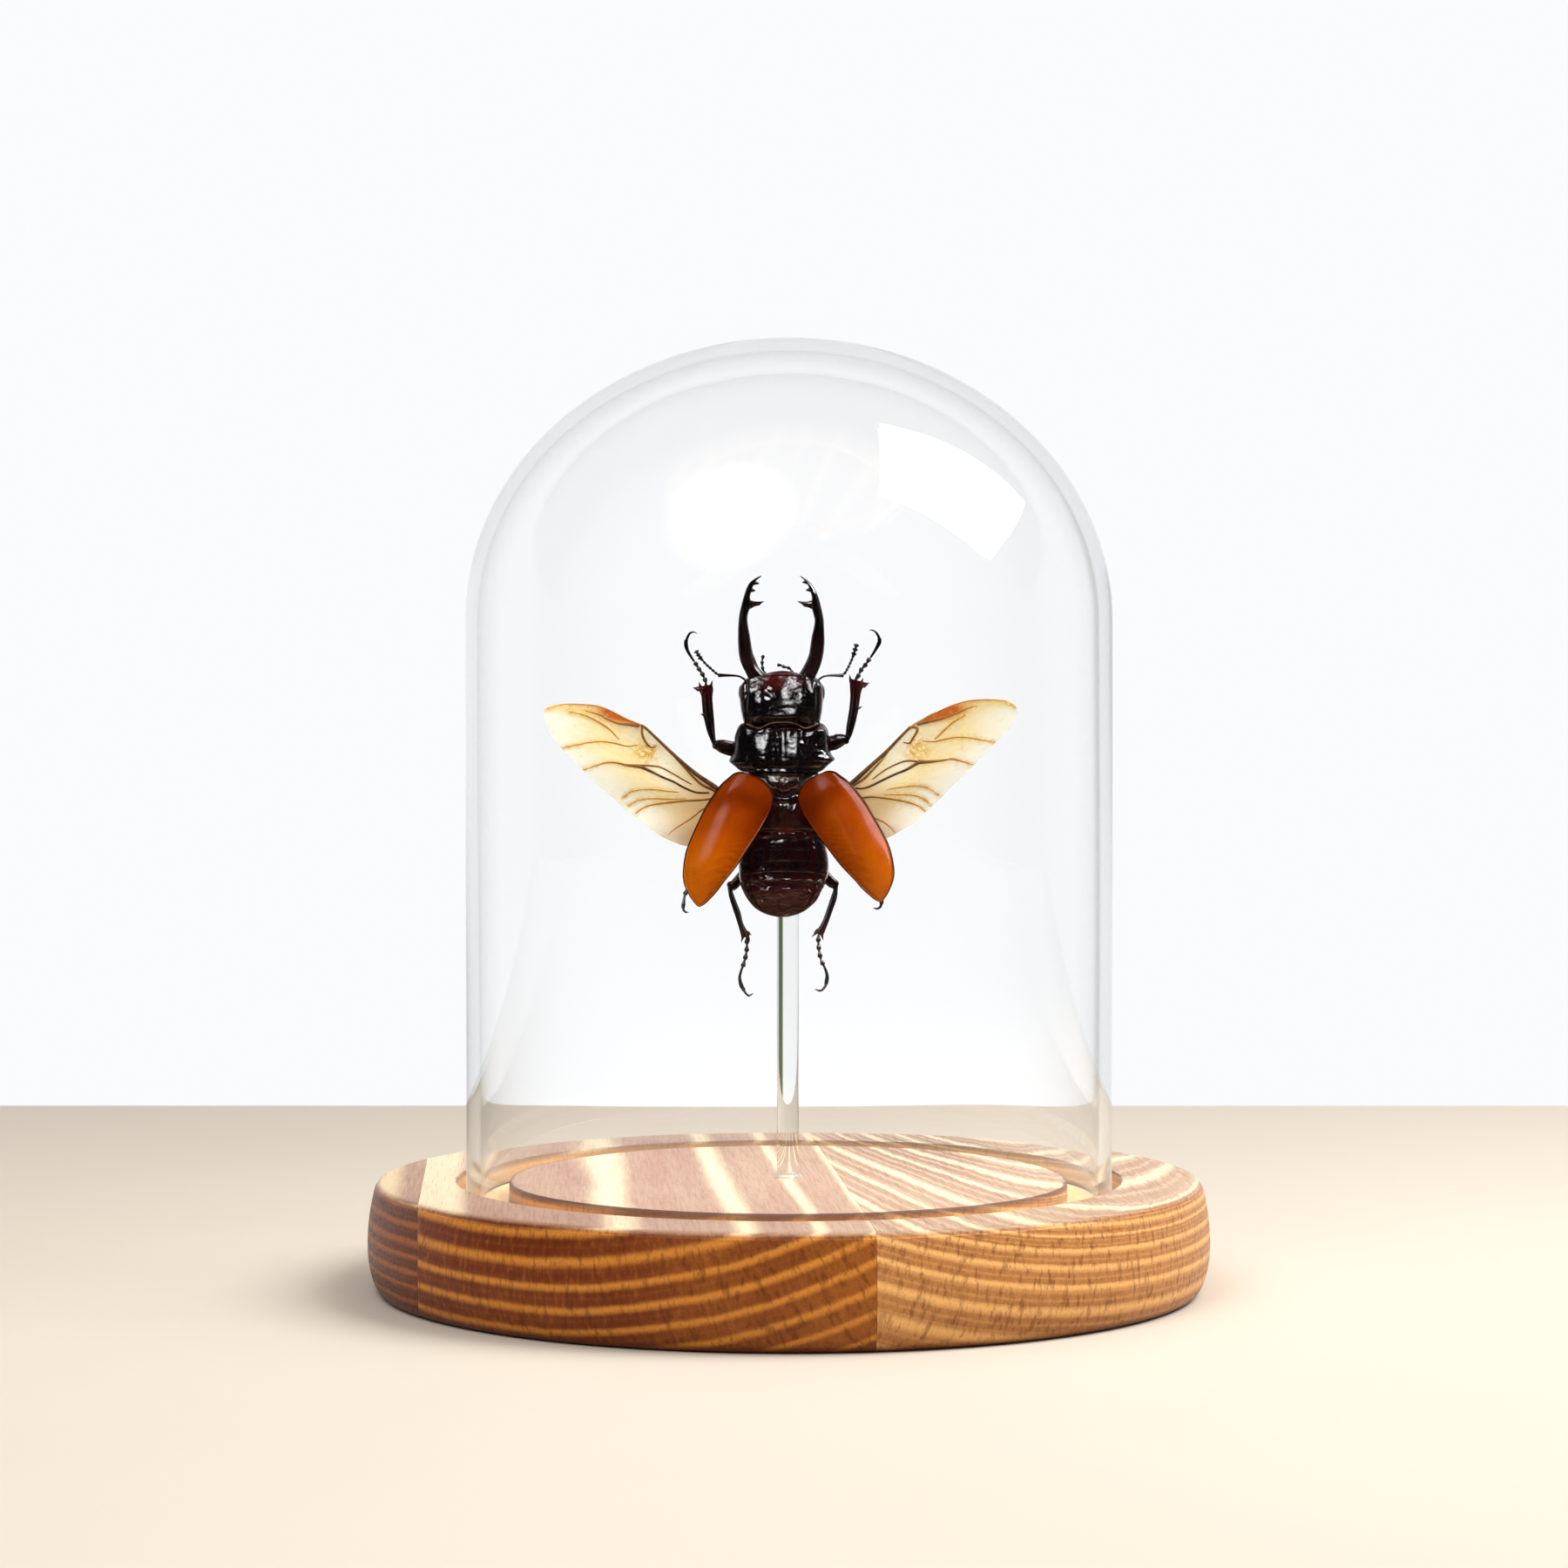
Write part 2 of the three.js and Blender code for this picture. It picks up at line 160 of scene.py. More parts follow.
def sides(rings: Array) -> Array:
    """The x, y and z of an array of points, as views on it."""
    return np.moveaxis(rings, -1, 0)


def combed(random: np.random.Generator, roots: Array, sideways: float, back: Flat, along: Flat) -> Array:
    """The tips of hairs: each root moved by a normal draw sideways and by even draws in depth and height.

    Args:
        random: the source of the draws.
        roots: where the hairs start (count, 3).
        sideways: the usual reach in x.
        back, along: the least and the largest reach in y and z.
    Returns:
        The tips (count, 3).
    """
    count = len(roots)
    reach = [random.normal(0, sideways, count), random.uniform(*back, count), random.uniform(*along, count)]
    return roots + np.stack(reach, axis=1)


@dataclass
class Skin:
    """A closed surface in millimetres: points, faces by index, and named values per point."""

    points: Array
    faces: list[Array]
    values: dict[str, Array] = field(default_factory=dict)

    @staticmethod
    def lofted(rings: Array, poles: tuple = (None, None), **values: Array | float) -> "Skin":
        """A skin through closed rings, its two ends shut by fans.

        Args:
            rings: points (rows, columns, 3); each row is one closed ring.
            poles: the point in the middle of each end; None takes the end ring's own middle.
            values: named numbers, one for each ring point or the same all over.
        Returns:
            The skin.
        """
        rows, columns = rings.shape[:2]
        ends = [rings[row].mean(axis=0) if pole is None else np.asarray(pole, float)
                for row, pole in zip((0, -1), poles)]
        here = np.arange(rows * columns).reshape(rows, columns)
        after = np.roll(here, -1, axis=1)
        quads = np.stack([here[:-1], after[:-1], after[1:], here[1:]], axis=-1).reshape(-1, 4)
        fans = [np.stack([after[row], here[row], np.full(columns, rows * columns + end)], axis=-1)
                for end, row in enumerate((0, -1))]
        fans[1] = fans[1][:, [1, 0, 2]]
        spread = {name: np.broadcast_to(value, (rows, columns)) for name, value in values.items()}
        flat = {name: np.concatenate([v.ravel(), [v[0].mean(), v[-1].mean()]]) for name, v in spread.items()}
        return Skin(np.vstack([rings.reshape(-1, 3), ends]), [quads, *fans], flat)

    @staticmethod
    def turned(profile: Array, columns: int, centre: Flat = (0.0, 0.0)) -> "Skin":
        """A skin turned about an upright axis; a profile that ends on the axis gets a pole there.

        Args:
            profile: (radius, height) points in order; the first and last lie on the axis.
            columns: points in each ring.
            centre: the axis.
        Returns:
            The skin.
        """
        angle = circle(columns)
        radius, height = profile[1:-1, 0, None], profile[1:-1, 1, None]
        rings = np.stack([centre[0] + radius * np.cos(angle), centre[1] + radius * np.sin(angle),
                          height + 0 * angle], axis=-1)
        return Skin.lofted(rings, ((*centre, profile[0, 1]), (*centre, profile[-1, 1])))

    @staticmethod
    def tube(path: list, radii: list[float], rows: int = 24, columns: int = 12, flat: float = 1.0,
             **values: float) -> "Skin":
        """A round rod along a path: each ring stands square to the path.

        Args:
            path: the points it passes.
            radii: its radius at even shares of its length.
            rows, columns: the fineness along and round it.
            flat: how much thinner it is from front to back.
            values: named numbers, the same all over it.
        Returns:
            The skin.
        """
        line = smooth_path(path, rows)
        way = np.gradient(line, axis=0)
        way /= np.linalg.norm(way, axis=1)[:, None]
        across = np.cross(way, [0.0, 1.0, 0.0])
        across /= np.linalg.norm(across, axis=1)[:, None]
        deep = np.cross(across, way)
        share = np.linspace(0, 1, rows)
        radius = np.interp(share, np.linspace(0, 1, len(radii)), radii)[:, None, None]
        angle = circle(columns)[None, :, None]
        round_it = np.cos(angle) * across[:, None] + flat * np.sin(angle) * deep[:, None]
        rings = line[:, None] + radius * round_it
        ends = line[0] - way[0] * radii[0] * 0.4, line[-1] + way[-1] * radii[-1] * 0.4
        return Skin.lofted(rings, ends, **values)

    @staticmethod
    def beads(path: list, count: int, radius: float, waist: float, **values: float) -> "Skin":
        """A string of cones that widen towards the tip, as the joints of a foot or an antenna do.

        Args:
            path: the line they follow.
            count: how many.
            radius: the widest radius.
            waist: the narrowest radius as a share of it.
            values: named numbers, the same all over it.
        Returns:
            The skin.
        """
        rows_each = 9
        rows = count * rows_each
        share = (np.arange(rows) % rows_each) / (rows_each - 1)
        radii = radius * (waist + (1 - waist) * np.sin(np.clip(share, 0, 1) ** 1.6 * math.pi * 0.9)
                          + 0.25 * share * (share < 0.99))
        return Skin.tube(path, list(radii), rows, 10, 1.0, **values)

    @staticmethod
    def blade(left: list, right: list, depth: list[float], middle: list[float], rows: int = 60,
              columns: int = 28, power: float = 2.2, ridge: float = 0.0, **values: float) -> "Skin":
        """A limb between two edges in the XZ plane, with superellipse sections.

        Each ring spans the two edges, and its half depth follows the sine of the ring angle.

        Args:
            left, right: (x, z) points of the two edges in the same direction.
            depth: half depth from front to back at even shares of the length.
            middle: the y of its middle at even shares of the length.
            rows, columns: the fineness along and round it.
            power: 2 for an ellipse, more for a squarer section.
            ridge: height of a ridge along its back.
            values: named numbers, the same all over it.
        Returns:
            The skin.
        """
        a, b = smooth_path(left, rows), smooth_path(right, rows)
        share = np.linspace(0, 1, rows)[:, None]
        half = np.interp(share, np.linspace(0, 1, len(depth)), depth)
        y = np.interp(share, np.linspace(0, 1, len(middle)), middle)
        angle = circle(columns)[None]
        across, deep = rounded(np.cos(angle), power), rounded(np.sin(angle), power)
        centre, reach = (a + b)[:, None] / 2, (a - b)[:, None] / 2
        flat = centre + reach * across[..., None]
        y = y + half * deep - ridge * bump(across, 0.1, 0.25) * (deep < 0) * np.sin(math.pi * share)
        rings = np.stack([flat[..., 0], y, flat[..., 1]], axis=-1)
        return Skin.lofted(rings, **values)

    @staticmethod
    def egg(centre: Point, size: Point, rows: int = 20, columns: int = 24, power: float = 2.0,
            turn: float = 0.0, **values: float) -> "Skin":
        """An ellipsoid, or a squarer one, turned in the XZ plane.

        Args:
            centre: its middle.
            size: its half sizes.
            rows, columns: its fineness.
            power: 2 for an ellipsoid, more for squarer sections.
            turn: degrees, from +Z towards +X.
            values: named numbers, the same all over it.
        Returns:
            The skin.
        """
        polar = np.linspace(0, math.pi, rows + 2)[1:-1, None]
        angle = circle(columns)[None]
        wide = rounded(np.sin(polar), power)
        spot = np.stack([wide * rounded(np.cos(angle), power), wide * rounded(np.sin(angle), power),
                         rounded(np.cos(polar), power) + 0 * angle], axis=-1) * np.array(size)
        poles = np.array([[0, 0, size[2]], [0, 0, -size[2]]], float)
        place = Matrix.Translation(centre) @ Matrix.Rotation(math.radians(turn), 4, "Y")
        return Skin.lofted(spot, poles, **values).moved(place)

    @staticmethod
    def hairs(roots: Array, tips: Array, radius: float) -> "Skin":
        """Many thin bristles, each a three-sided spike from its root to its tip.

        Args:
            roots, tips: their ends (count, 3).
            radius: their radius at the root.
        Returns:
            The skin.
        """
        way = tips - roots
        across = np.cross(way, [0.3, 1.0, 0.2])
        across /= np.linalg.norm(across, axis=1)[:, None]
        other = np.cross(across, way / np.linalg.norm(way, axis=1)[:, None])
        thirds = (0, 2.0944, 4.1888)
        feet = [roots + radius * (math.cos(a) * across + math.sin(a) * other) for a in thirds]
        points = np.stack([*feet, tips], axis=1).reshape(-1, 3)
        first = 4 * np.arange(len(roots))[:, None]
        faces = np.vstack([first + np.array(f) for f in ([0, 2, 1], [0, 1, 3], [1, 2, 3], [2, 0, 3])])
        return Skin(points, [faces])

    @staticmethod
    def joined(skins: list["Skin"]) -> "Skin":
        """One skin from several, each kept closed; a value that one of them lacks is 0 there."""
        starts = np.cumsum([0] + [len(skin.points) for skin in skins])
        names = {name for skin in skins for name in skin.values}
        values = {name: np.concatenate([skin.values.get(name, np.zeros(len(skin.points))) for skin in skins])
                  for name in names}
        faces = [face + start for skin, start in zip(skins, starts) for face in skin.faces]
        return Skin(np.vstack([skin.points for skin in skins]), faces, values)

    def moved(self, matrix: Matrix) -> "Skin":
        """The skin after a move or turn."""
        m = np.array(matrix)
        return Skin(self.points @ m[:3, :3].T + m[:3, 3], self.faces, self.values)

    def roughened(self, amount: float, wavelength: float, seed: int) -> "Skin":
        """The skin with uneven waves, each point pushed away from or towards the skin's middle line."""
        middle = self.points.mean(axis=0)
        way = self.points - middle
        way /= np.maximum(np.linalg.norm(way, axis=1), 1e-6)[:, None]
        shift = amount * ripple(self.points, wavelength, seed)[:, None]
        return Skin(self.points + way * shift, self.faces, self.values)

    def piece(self, name: str, material: Material, nodes: tuple[str, ...] = (), slot: str = "black_cuticle",
              place: Array = BEETLE_PLACE, sharp: float = 40.0) -> bpy.types.Object:
        """Makes the Blender object and ties it to the frame.

        Args:
            name: the object's name.
            material: its finish.
            nodes: the CAD nodes it stands for.
            slot: the record's material slot; not used.
            place: where its own frame starts; the beetle's by default.
            sharp: edges steeper than this many degrees stay sharp.
        Returns:
            The object, at the origin, with its place in its mesh.
        """
        mesh = bpy.data.meshes.new(name)
        mesh.from_pydata(((self.points + place) * MM).tolist(), [],
                         [face for faces in self.faces for face in faces.tolist()])
        for label, numbers in self.values.items():
            mesh.attributes.new(label, "FLOAT", "POINT").data.foreach_set("value", numbers.astype(np.float32))
        face_outwards(mesh)
        finish_mesh(mesh, material, sharp)
        piece = bpy.data.objects.new(name, mesh)
        return tie(piece, nodes)


def face_outwards(mesh: bpy.types.Mesh) -> None:
    """Turns the faces of each closed part of a mesh outwards."""
    work = bmesh.new()
    work.from_mesh(mesh)
    bmesh.ops.recalc_face_normals(work, faces=work.faces)
    work.to_mesh(mesh)
    work.free()


def finish_mesh(mesh: bpy.types.Mesh, material: Material, sharp: float) -> None:
    """Shades a mesh smoothly up to an angle in degrees and gives it its material."""
    mesh.shade_smooth()
    mesh.set_sharp_from_angle(angle=math.radians(sharp))
    mesh.materials.append(material)


def tie(piece: bpy.types.Object, nodes: tuple[str, ...]) -> bpy.types.Object:
    """Links a piece to the scene and to the frame's one body, and reports it.

    Args:
        piece: the object.
        nodes: the CAD nodes it stands for.
    Returns:
        The piece.
    """
    bpy.context.scene.collection.objects.link(piece)
    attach(piece, "root")
    if nodes:
        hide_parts(*nodes)
    log.info("made %s, %d faces", piece.name, len(piece.data.polygons))
    return piece


# ---- shader wiring


class Wiring:
    """Places the nodes of one node tree and joins them."""

    def __init__(self, tree: Tree) -> None:
        """Starts on an existing tree."""
        self.tree = tree

    def node(self, kind: str, settings: dict | None = None, **inputs: object) -> Node:
        """Places a node.

        Args:
            kind: its type without the ShaderNode prefix.
            settings: its own properties.
            inputs: values or sockets by input name, with _ for a blank.
        Returns:
            The node.
        """
        node = self.tree.nodes.new(kind if kind.startswith("NodeGroup") else "ShaderNode" + kind)
        for name, value in (settings or {}).items():
            setattr(node, name, value)
        self.into(node, **inputs)
        return node

    def into(self, node: Node, **inputs: object) -> None:
        """Feeds inputs of a node by name, with _ for a blank."""
        for name, value in inputs.items():
            self.feed(node.inputs[name.replace("_", " ")], value)

    def feed(self, socket: Socket, value: object) -> None:
        """Links an output to a socket, or sets the socket's own value."""
        if isinstance(value, Socket):
            self.tree.links.new(value, socket)
        else:
            socket.default_value = value

    def math(self, operation: str, first: object, second: object = 0.0, clamp: bool = False) -> Socket:
        """The result of a Math node on sockets or numbers."""
        node = self.node("Math", {"operation": operation, "use_clamp": clamp})
        for socket, value in zip(node.inputs, (first, second)):
            self.feed(socket, value)
        return node.outputs[0]

    def times(self, first: object, second: object) -> Socket:
        """A product."""
        return self.math("MULTIPLY", first, second)

    def plus(self, first: object, second: object, clamp: bool = False) -> Socket:
        """A sum, kept between 0 and 1 on request."""
        return self.math("ADD", first, second, clamp)

    def minus(self, first: object, second: object, clamp: bool = False) -> Socket:
        """A difference, kept between 0 and 1 on request."""
        return self.math("SUBTRACT", first, second, clamp)

    def most(self, first: object, second: object) -> Socket:
        """The larger of two values."""
        return self.math("MAXIMUM", first, second)

    def above(self, first: object, second: object) -> Socket:
        """1 where the first value is the larger one, else 0."""
        return self.math("GREATER_THAN", first, second)

    def rest(self, value: object) -> Socket:
        """What a value leaves of 1."""
        return self.minus(1.0, value)

    def swing(self, noise: object, reach: object) -> Socket:
        """A noise that swings about 0 instead of 0.5, times its reach."""
        return self.times(self.minus(noise, 0.5), reach)

    def step(self, value: object, start: object, end: object, low: float = 0.0, high: float = 1.0) -> Socket:
        """A smooth step of a value from low at start to high at end."""
        return self.node("MapRange", {"interpolation_type": "SMOOTHSTEP"}, Value=value, From_Min=start,
                         From_Max=end, To_Min=low, To_Max=high).outputs[0]

    def mix(self, factor: object, first: object, second: object) -> Socket:
        """A mix of two colours by a factor."""
        node = self.node("Mix", {"data_type": "RGBA"})
        for socket, value in zip((node.inputs[0], node.inputs[6], node.inputs[7]), (factor, first, second)):
            self.feed(socket, value)
        return node.outputs[2]

    def noise(self, place: object, scale: float, detail: float = 2.0, roughness: float = 0.5,
              distortion: float = 0.0) -> Socket:
        """The value of a Noise Texture."""
        return self.node("TexNoise", None, Vector=place, Scale=scale, Detail=detail, Roughness=roughness,
                         Distortion=distortion).outputs["Fac"]

    def relief(self, height: object, strength: float, distance: float) -> Socket:
        """The normal that a height gives, by the share of it that counts and its reach in metres."""
        return self.node("Bump", None, Strength=strength, Distance=distance, Height=height).outputs[0]

    def scaled(self, place: object, scale: Point, turn: float = 0.0) -> Socket:
        """Object coordinates turned by degrees about Z, then stretched."""
        turned = self.node("Mapping", None, Vector=place, Rotation=(0, 0, math.radians(-turn))).outputs[0]
        return self.node("Mapping", None, Vector=turned, Scale=scale).outputs[0]

    def vectors(self, operation: str, first: object, second: object) -> Node:
        """A Vector Math node on two vectors."""
        node = self.node("VectorMath", {"operation": operation})
        for socket, value in zip(node.inputs, (first, second)):
            self.feed(socket, value)
        return node

    def vector(self, x: object, y: object, z: object = 0.0) -> Socket:
        """A vector from its three parts."""
        return self.node("CombineXYZ", None, X=x, Y=y, Z=z).outputs[0]

    def parts(self, place: object) -> bpy.types.bpy_prop_collection:
        """The x, y and z of a vector, as outputs 0, 1 and 2."""
        return self.node("SeparateXYZ", None, Vector=place).outputs

    def place(self) -> Socket:
        """The Object coordinates of the surface."""
        return self.node("TexCoord").outputs["Object"]

    def value(self, name: str) -> Socket:
        """A named value of the mesh."""
        return self.node("Attribute", {"attribute_name": name}).outputs["Fac"]

    def group(self, tree: Tree, **inputs: object) -> bpy.types.bpy_prop_collection:
        """Places a node group and gives its outputs."""
        return self.node("Group", {"node_tree": tree}, **inputs).outputs


def new_group(name: str, inputs: dict[str, object], outputs: tuple[str, ...]
              ) -> tuple[Wiring, Node, Node]:
    """Starts a shader node group.

    Args:
        name: the group's name.
        inputs: input names with their first values; a tuple of three is a vector.
        outputs: names of its number outputs.
    Returns:
        The wiring, the group's input node and its output node.
    """
    tree = bpy.data.node_groups.new(name, "ShaderNodeTree")
    for label, value in inputs.items():
        kind = "NodeSocketVector" if isinstance(value, tuple) else "NodeSocketFloat"
        socket = tree.interface.new_socket(label, in_out="INPUT", socket_type=kind)
        if kind == "NodeSocketFloat":
            socket.default_value = value
    for label in outputs:
        tree.interface.new_socket(label, in_out="OUTPUT", socket_type="NodeSocketFloat")
    wiring = Wiring(tree)
    return wiring, wiring.node("NodeGroupInput"), wiring.node("NodeGroupOutput")


def growth_rings_group() -> Tree:
    """Growth rings of a plank as cylinders about an axis that leans a little off its length.

    The ring radius is the distance from the axis in the cross-section, plus a lean along the plank and
    three noises. The count of rings grows as the logarithm of the radius, so that they widen outwards, and
    at a rate of its own inside the first radius. Each ring has one pale line with a sharp outer side and a
    soft inner side.

    Returns:
        The group, with outputs Pale Line, Fine Line, Fibre, Pores, Ray and Off Middle, which is how many
        millimetres a place lies across the grain from the middle of the disc.
    """
    w, start, end = new_group(
        "growth_rings",
        {"Place": (0, 0, 0), "Across": 0.0, "Height": 130.0, "First Radius": 120.0, "Pitch": 3.0,
         "Inner Rate": 1.0, "Widening": 0.001, "Lean": 0.0, "Line Width": 0.25, "Warp": 0.5, "Seed": 0.0},
        ("Pale Line", "Fine Line", "Fibre", "Pores", "Ray", "Off Middle"),
    )
    get = start.outputs
    millimetres = w.scaled(get["Place"], PER_METRE, GRAIN_TURN)
    parts = w.parts(millimetres)
    seeded = w.vectors("ADD", millimetres, w.vector(get["Seed"], get["Seed"])).outputs[0]

    def figure(across: float, along: float, detail: float, roughness: float = 0.5) -> Socket:
        """A noise by its cycles per millimetre across and along the plank."""
        return w.noise(w.scaled(seeded, (across, along, across)), 1.0, detail, roughness)

    across, height = w.minus(parts[0], get["Across"]), w.minus(parts[2], get["Height"])
    radius = w.math("SQRT", w.plus(w.times(across, across), w.times(height, height)))
    radius = w.minus(radius, w.times(parts[1], get["Lean"]))
    for noise, reach in ((figure(0.05, 0.016, 1.5), w.times(get["Warp"], 4.0)),
                         (figure(0.35, 0.03, 2.0), w.times(get["Warp"], 1.5)),
                         (figure(1.6, 0.15, 2.0), 0.25)):
        radius = w.plus(radius, w.swing(noise, reach))
    grown = w.math("DIVIDE", w.minus(radius, get["First Radius"]), get["Pitch"])
    grown = w.plus(w.most(grown, 0.0), w.times(w.math("MINIMUM", grown, 0.0), get["Inner Rate"]))
    widened = w.most(w.plus(w.times(grown, get["Widening"]), 1.0), 0.2)
    count = w.math("DIVIDE", w.math("LOGARITHM", widened, math.e), get["Widening"])
    share, ring = w.math("FRACT", count), w.math("FLOOR", count)
    luck = w.node("TexWhiteNoise", {"noise_dimensions": "1D"}, W=w.plus(ring, get["Seed"])).outputs["Value"]
    width = w.times(get["Line Width"], w.plus(0.72, w.times(luck, 0.6)))
    outer_side = w.step(share, 0.0, w.times(width, 0.55))
    inner_side = w.step(share, w.times(width, 0.65), w.times(width, 1.4), 1.0, 0.0)
    thin = w.math("FRACT", w.plus(w.times(count, 3.0), w.times(luck, 0.7)))
    dots = w.node("TexVoronoi", {"feature": "F1"}, Vector=w.scaled(seeded, (3.4, 0.06, 3.4)), Scale=1.0)
    turn = w.math("ARCTAN2", across, height)
    rays = w.vector(w.times(turn, 170.0), w.times(parts[1], 1.3), w.times(radius, 0.42))
    w.into(end, Pale_Line=w.times(outer_side, inner_side),
           Fine_Line=w.times(w.step(thin, 0.3, 0.5), w.step(thin, 0.62, 0.85, 1.0, 0.0)),
           Fibre=figure(2.6, 0.09, 4.0, 0.62), Pores=w.step(dots.outputs["Distance"], 0.1, 0.3, 1.0, 0.0),
           Ray=w.noise(rays, 1.0, 2.5, 0.6), Off_Middle=parts[0])
    return w.tree


def turned_edges_group() -> Tree:
    """Where the turned base is darkened: its top and bottom arrises and both rims of the groove.

    Returns:
        The group, with outputs Burn (1 on an arris), Groove (1 inside the groove, where painted light goes),
        Shade (1 low down, where painted shade goes) and Top (1 on the top face).
    """
    w, start, end = new_group("turned_edges", {"Place": (0, 0, 0)}, ("Burn", "Groove", "Shade", "Top"))
    millimetres = w.scaled(start.outputs["Place"], PER_METRE)
    x, y, z = w.parts(millimetres)
    radius = w.math("SQRT", w.plus(w.times(x, x), w.times(y, y)))
    uneven = w.swing(w.noise(millimetres, 0.35, 4.0, 0.65), 1.1)
    wavy = w.plus(radius, uneven)
    high = w.step(z, 15.6, 16.9)

    def arris(at: float, width: float) -> Socket:
        """A soft line round the base at a radius."""
        return w.step(w.math("ABSOLUTE", w.minus(wavy, at)), width * 0.45, width, 1.0, 0.0)

    top = w.times(w.times(arris(63.5, 0.8), high), 0.12)
    rims = w.times(w.most(w.times(arris(51.3, 0.4), 0.5), arris(43.1, 0.5)), high)
    inside = w.times(w.step(radius, 43.1, 43.5), w.step(radius, 51.2, 51.5, 1.0, 0.0))
    w.into(end, Burn=w.most(w.most(top, rims), w.step(z, 0.2, 1.5, 1.0, 0.0)),
           Groove=w.times(inside, w.step(z, 16.4, 16.9, 1.0, 0.0)), Shade=w.step(z, 0.0, 8.0, 1.0, 0.0),
           Top=w.step(w.plus(z, w.times(uneven, 0.3)), 16.2, 16.9))
    return w.tree


def cuticle_relief_group() -> Tree:
    """The fine relief of a beetle's shell: shallow pits between soft wrinkles.

    Pits are the hollows round the seeds of a cell pattern, wrinkles a stretched noise.

    Returns:
        The group, with outputs Height and Mottle.
    """
    w, start, end = new_group(
        "cuticle_relief",
        {"Place": (0, 0, 0), "Pits Per Metre": 2600.0, "Pit Depth": 0.3, "Wrinkles Per Metre": 500.0,
         "Wrinkle Depth": 0.5},
        ("Height", "Mottle"),
    )
    get = start.outputs
    cells = w.node("TexVoronoi", {"feature": "F1"}, Vector=get["Place"], Scale=get["Pits Per Metre"])
    pits = w.step(cells.outputs["Distance"], 0.08, 0.4)
    wrinkles = w.noise(get["Place"], get["Wrinkles Per Metre"], 3.0, 0.6, 0.6)
    w.into(end, Height=w.plus(w.times(pits, get["Pit Depth"]), w.times(wrinkles, get["Wrinkle Depth"])),
           Mottle=w.noise(get["Place"], 260.0, 3.0, 0.55))
    return w.tree


# ---- finishes


def new_material(name: str) -> tuple[Material, Wiring, Node]:
    """A material with a Principled shader.

    Args:
        name: the material's name.
    Returns:
        The material, its wiring and its shader.
    """
    material = bpy.data.materials.new(name)
    material.use_nodes = True
    return material, Wiring(material.node_tree), material.node_tree.nodes["Principled BSDF"]


@dataclass(frozen=True)
class PineFinish:
    """Torched and oiled pine: dark brown early wood with pale late lines, satin."""

    name: str
    across: float
    height: float
    first_radius: float
    pitch: float
    widening: float
    lean: float
    line_width: float
    warp: float
    seed: float
    dark: Colour = srgb(110, 43, 8)
    pale: Colour = srgb(208, 132, 48)
    # The top face's colours, paler and greyer than the side's: partly its own face grain, partly painted light and a
    # painted sheen of the bright room.
    lit_top_dark: Colour = srgb(164, 120, 98)
    lit_top_pale: Colour = srgb(240, 215, 174)
    sapwood: float = -51.0
    inner_rate: float = 1.0
    fine: float = 0.3
    ray: float = 0.3

    def material(self, rings: Tree, edges: Tree) -> Material:
        """Builds the material.

        Args:
            rings: the growth ring group.
            edges: the turned edge group.
        Returns:
            The material.
        """
        material, w, shader = new_material(self.name)
        place = w.place()
        turned = w.group(edges, Place=place)
        top = turned["Top"]
        wide = w.step(top, 0.2, 0.8, self.line_width * 1.4, self.line_width)
        grain = w.group(rings, Place=place, Across=self.across, Height=self.height, Pitch=self.pitch,
                        First_Radius=self.first_radius, Widening=self.widening, Lean=self.lean,
                        Line_Width=wide, Inner_Rate=self.inner_rate, Warp=self.warp, Seed=self.seed)
        fibre, ray = grain["Fibre"], grain["Ray"]
        tone = w.noise(w.scaled(place, (25, 8, 25), GRAIN_TURN), 1.0, 3.0)
        # The top face takes its own colours: partly paler face grain, partly painted light and sheen.
        dark, pale = w.mix(top, self.dark, self.lit_top_dark), w.mix(top, self.pale, self.lit_top_pale)

        def between(share: float) -> Socket:
            """A wood colour between dark and pale."""
            return w.mix(share, dark, pale)

        late = w.times(grain["Pale Line"], w.step(fibre, 0.1, 0.55, 0.8, 1.0))
        ragged = w.plus(grain["Off Middle"], w.swing(tone, 9.0))
        sap = w.times(top, w.step(ragged, self.sapwood - 1.5, self.sapwood + 1.5, 0.8, 0.0))
        side = w.rest(w.times(top, 0.75))
        stroke = w.times(w.step(ray, 0.48, 0.7), side)
        glint = w.times(w.step(ray, 0.3, 0.46, 1.0, 0.0), side)
        wood = w.mix(w.step(tone, 0.3, 0.7), dark, between(0.32))
        for share, colour in (
            (w.times(grain["Fine Line"], self.fine), between(0.5)),
            (w.step(fibre, 0.5, 0.8, 0.0, 0.5), w.mix(0.6, srgb(60, 26, 10), dark)),
            (w.most(late, sap), pale),
            (w.times(stroke, self.ray), srgb(80, 30, 8)),
            (w.times(glint, self.ray * 0.6), between(0.55)),
            (w.times(grain["Pores"], 0.4), w.mix(0.5, srgb(52, 25, 12), dark)),
            # Painted light: the groove's walls are painted pale orange to near white against the dome's shade.
            (turned["Groove"], w.mix(fibre, srgb(210, 146, 84), srgb(255, 230, 176))),
            # Painted shade: the side is darkened low down, under its bulge.
            (w.times(turned["Shade"], 0.12), srgb(48, 22, 9)),
            (w.times(turned["Burn"], 0.85), srgb(84, 36, 10)),
        ):
            wood = w.mix(share, wood, colour)
        height = w.minus(w.times(fibre, 0.6), w.times(grain["Pores"], 0.7))
        height = w.minus(height, w.times(w.step(ray, 0.58, 0.7), 0.4))
        height = w.plus(height, w.times(grain["Pale Line"], 0.5))
        w.into(shader, Base_Color=wood, Roughness=w.step(fibre, 0.2, 0.8, 0.34, 0.52),
               Normal=w.relief(height, 0.35, 0.00022), Specular_IOR_Level=0.16, Coat_Weight=0.06,
               Coat_Roughness=0.25)
        return material


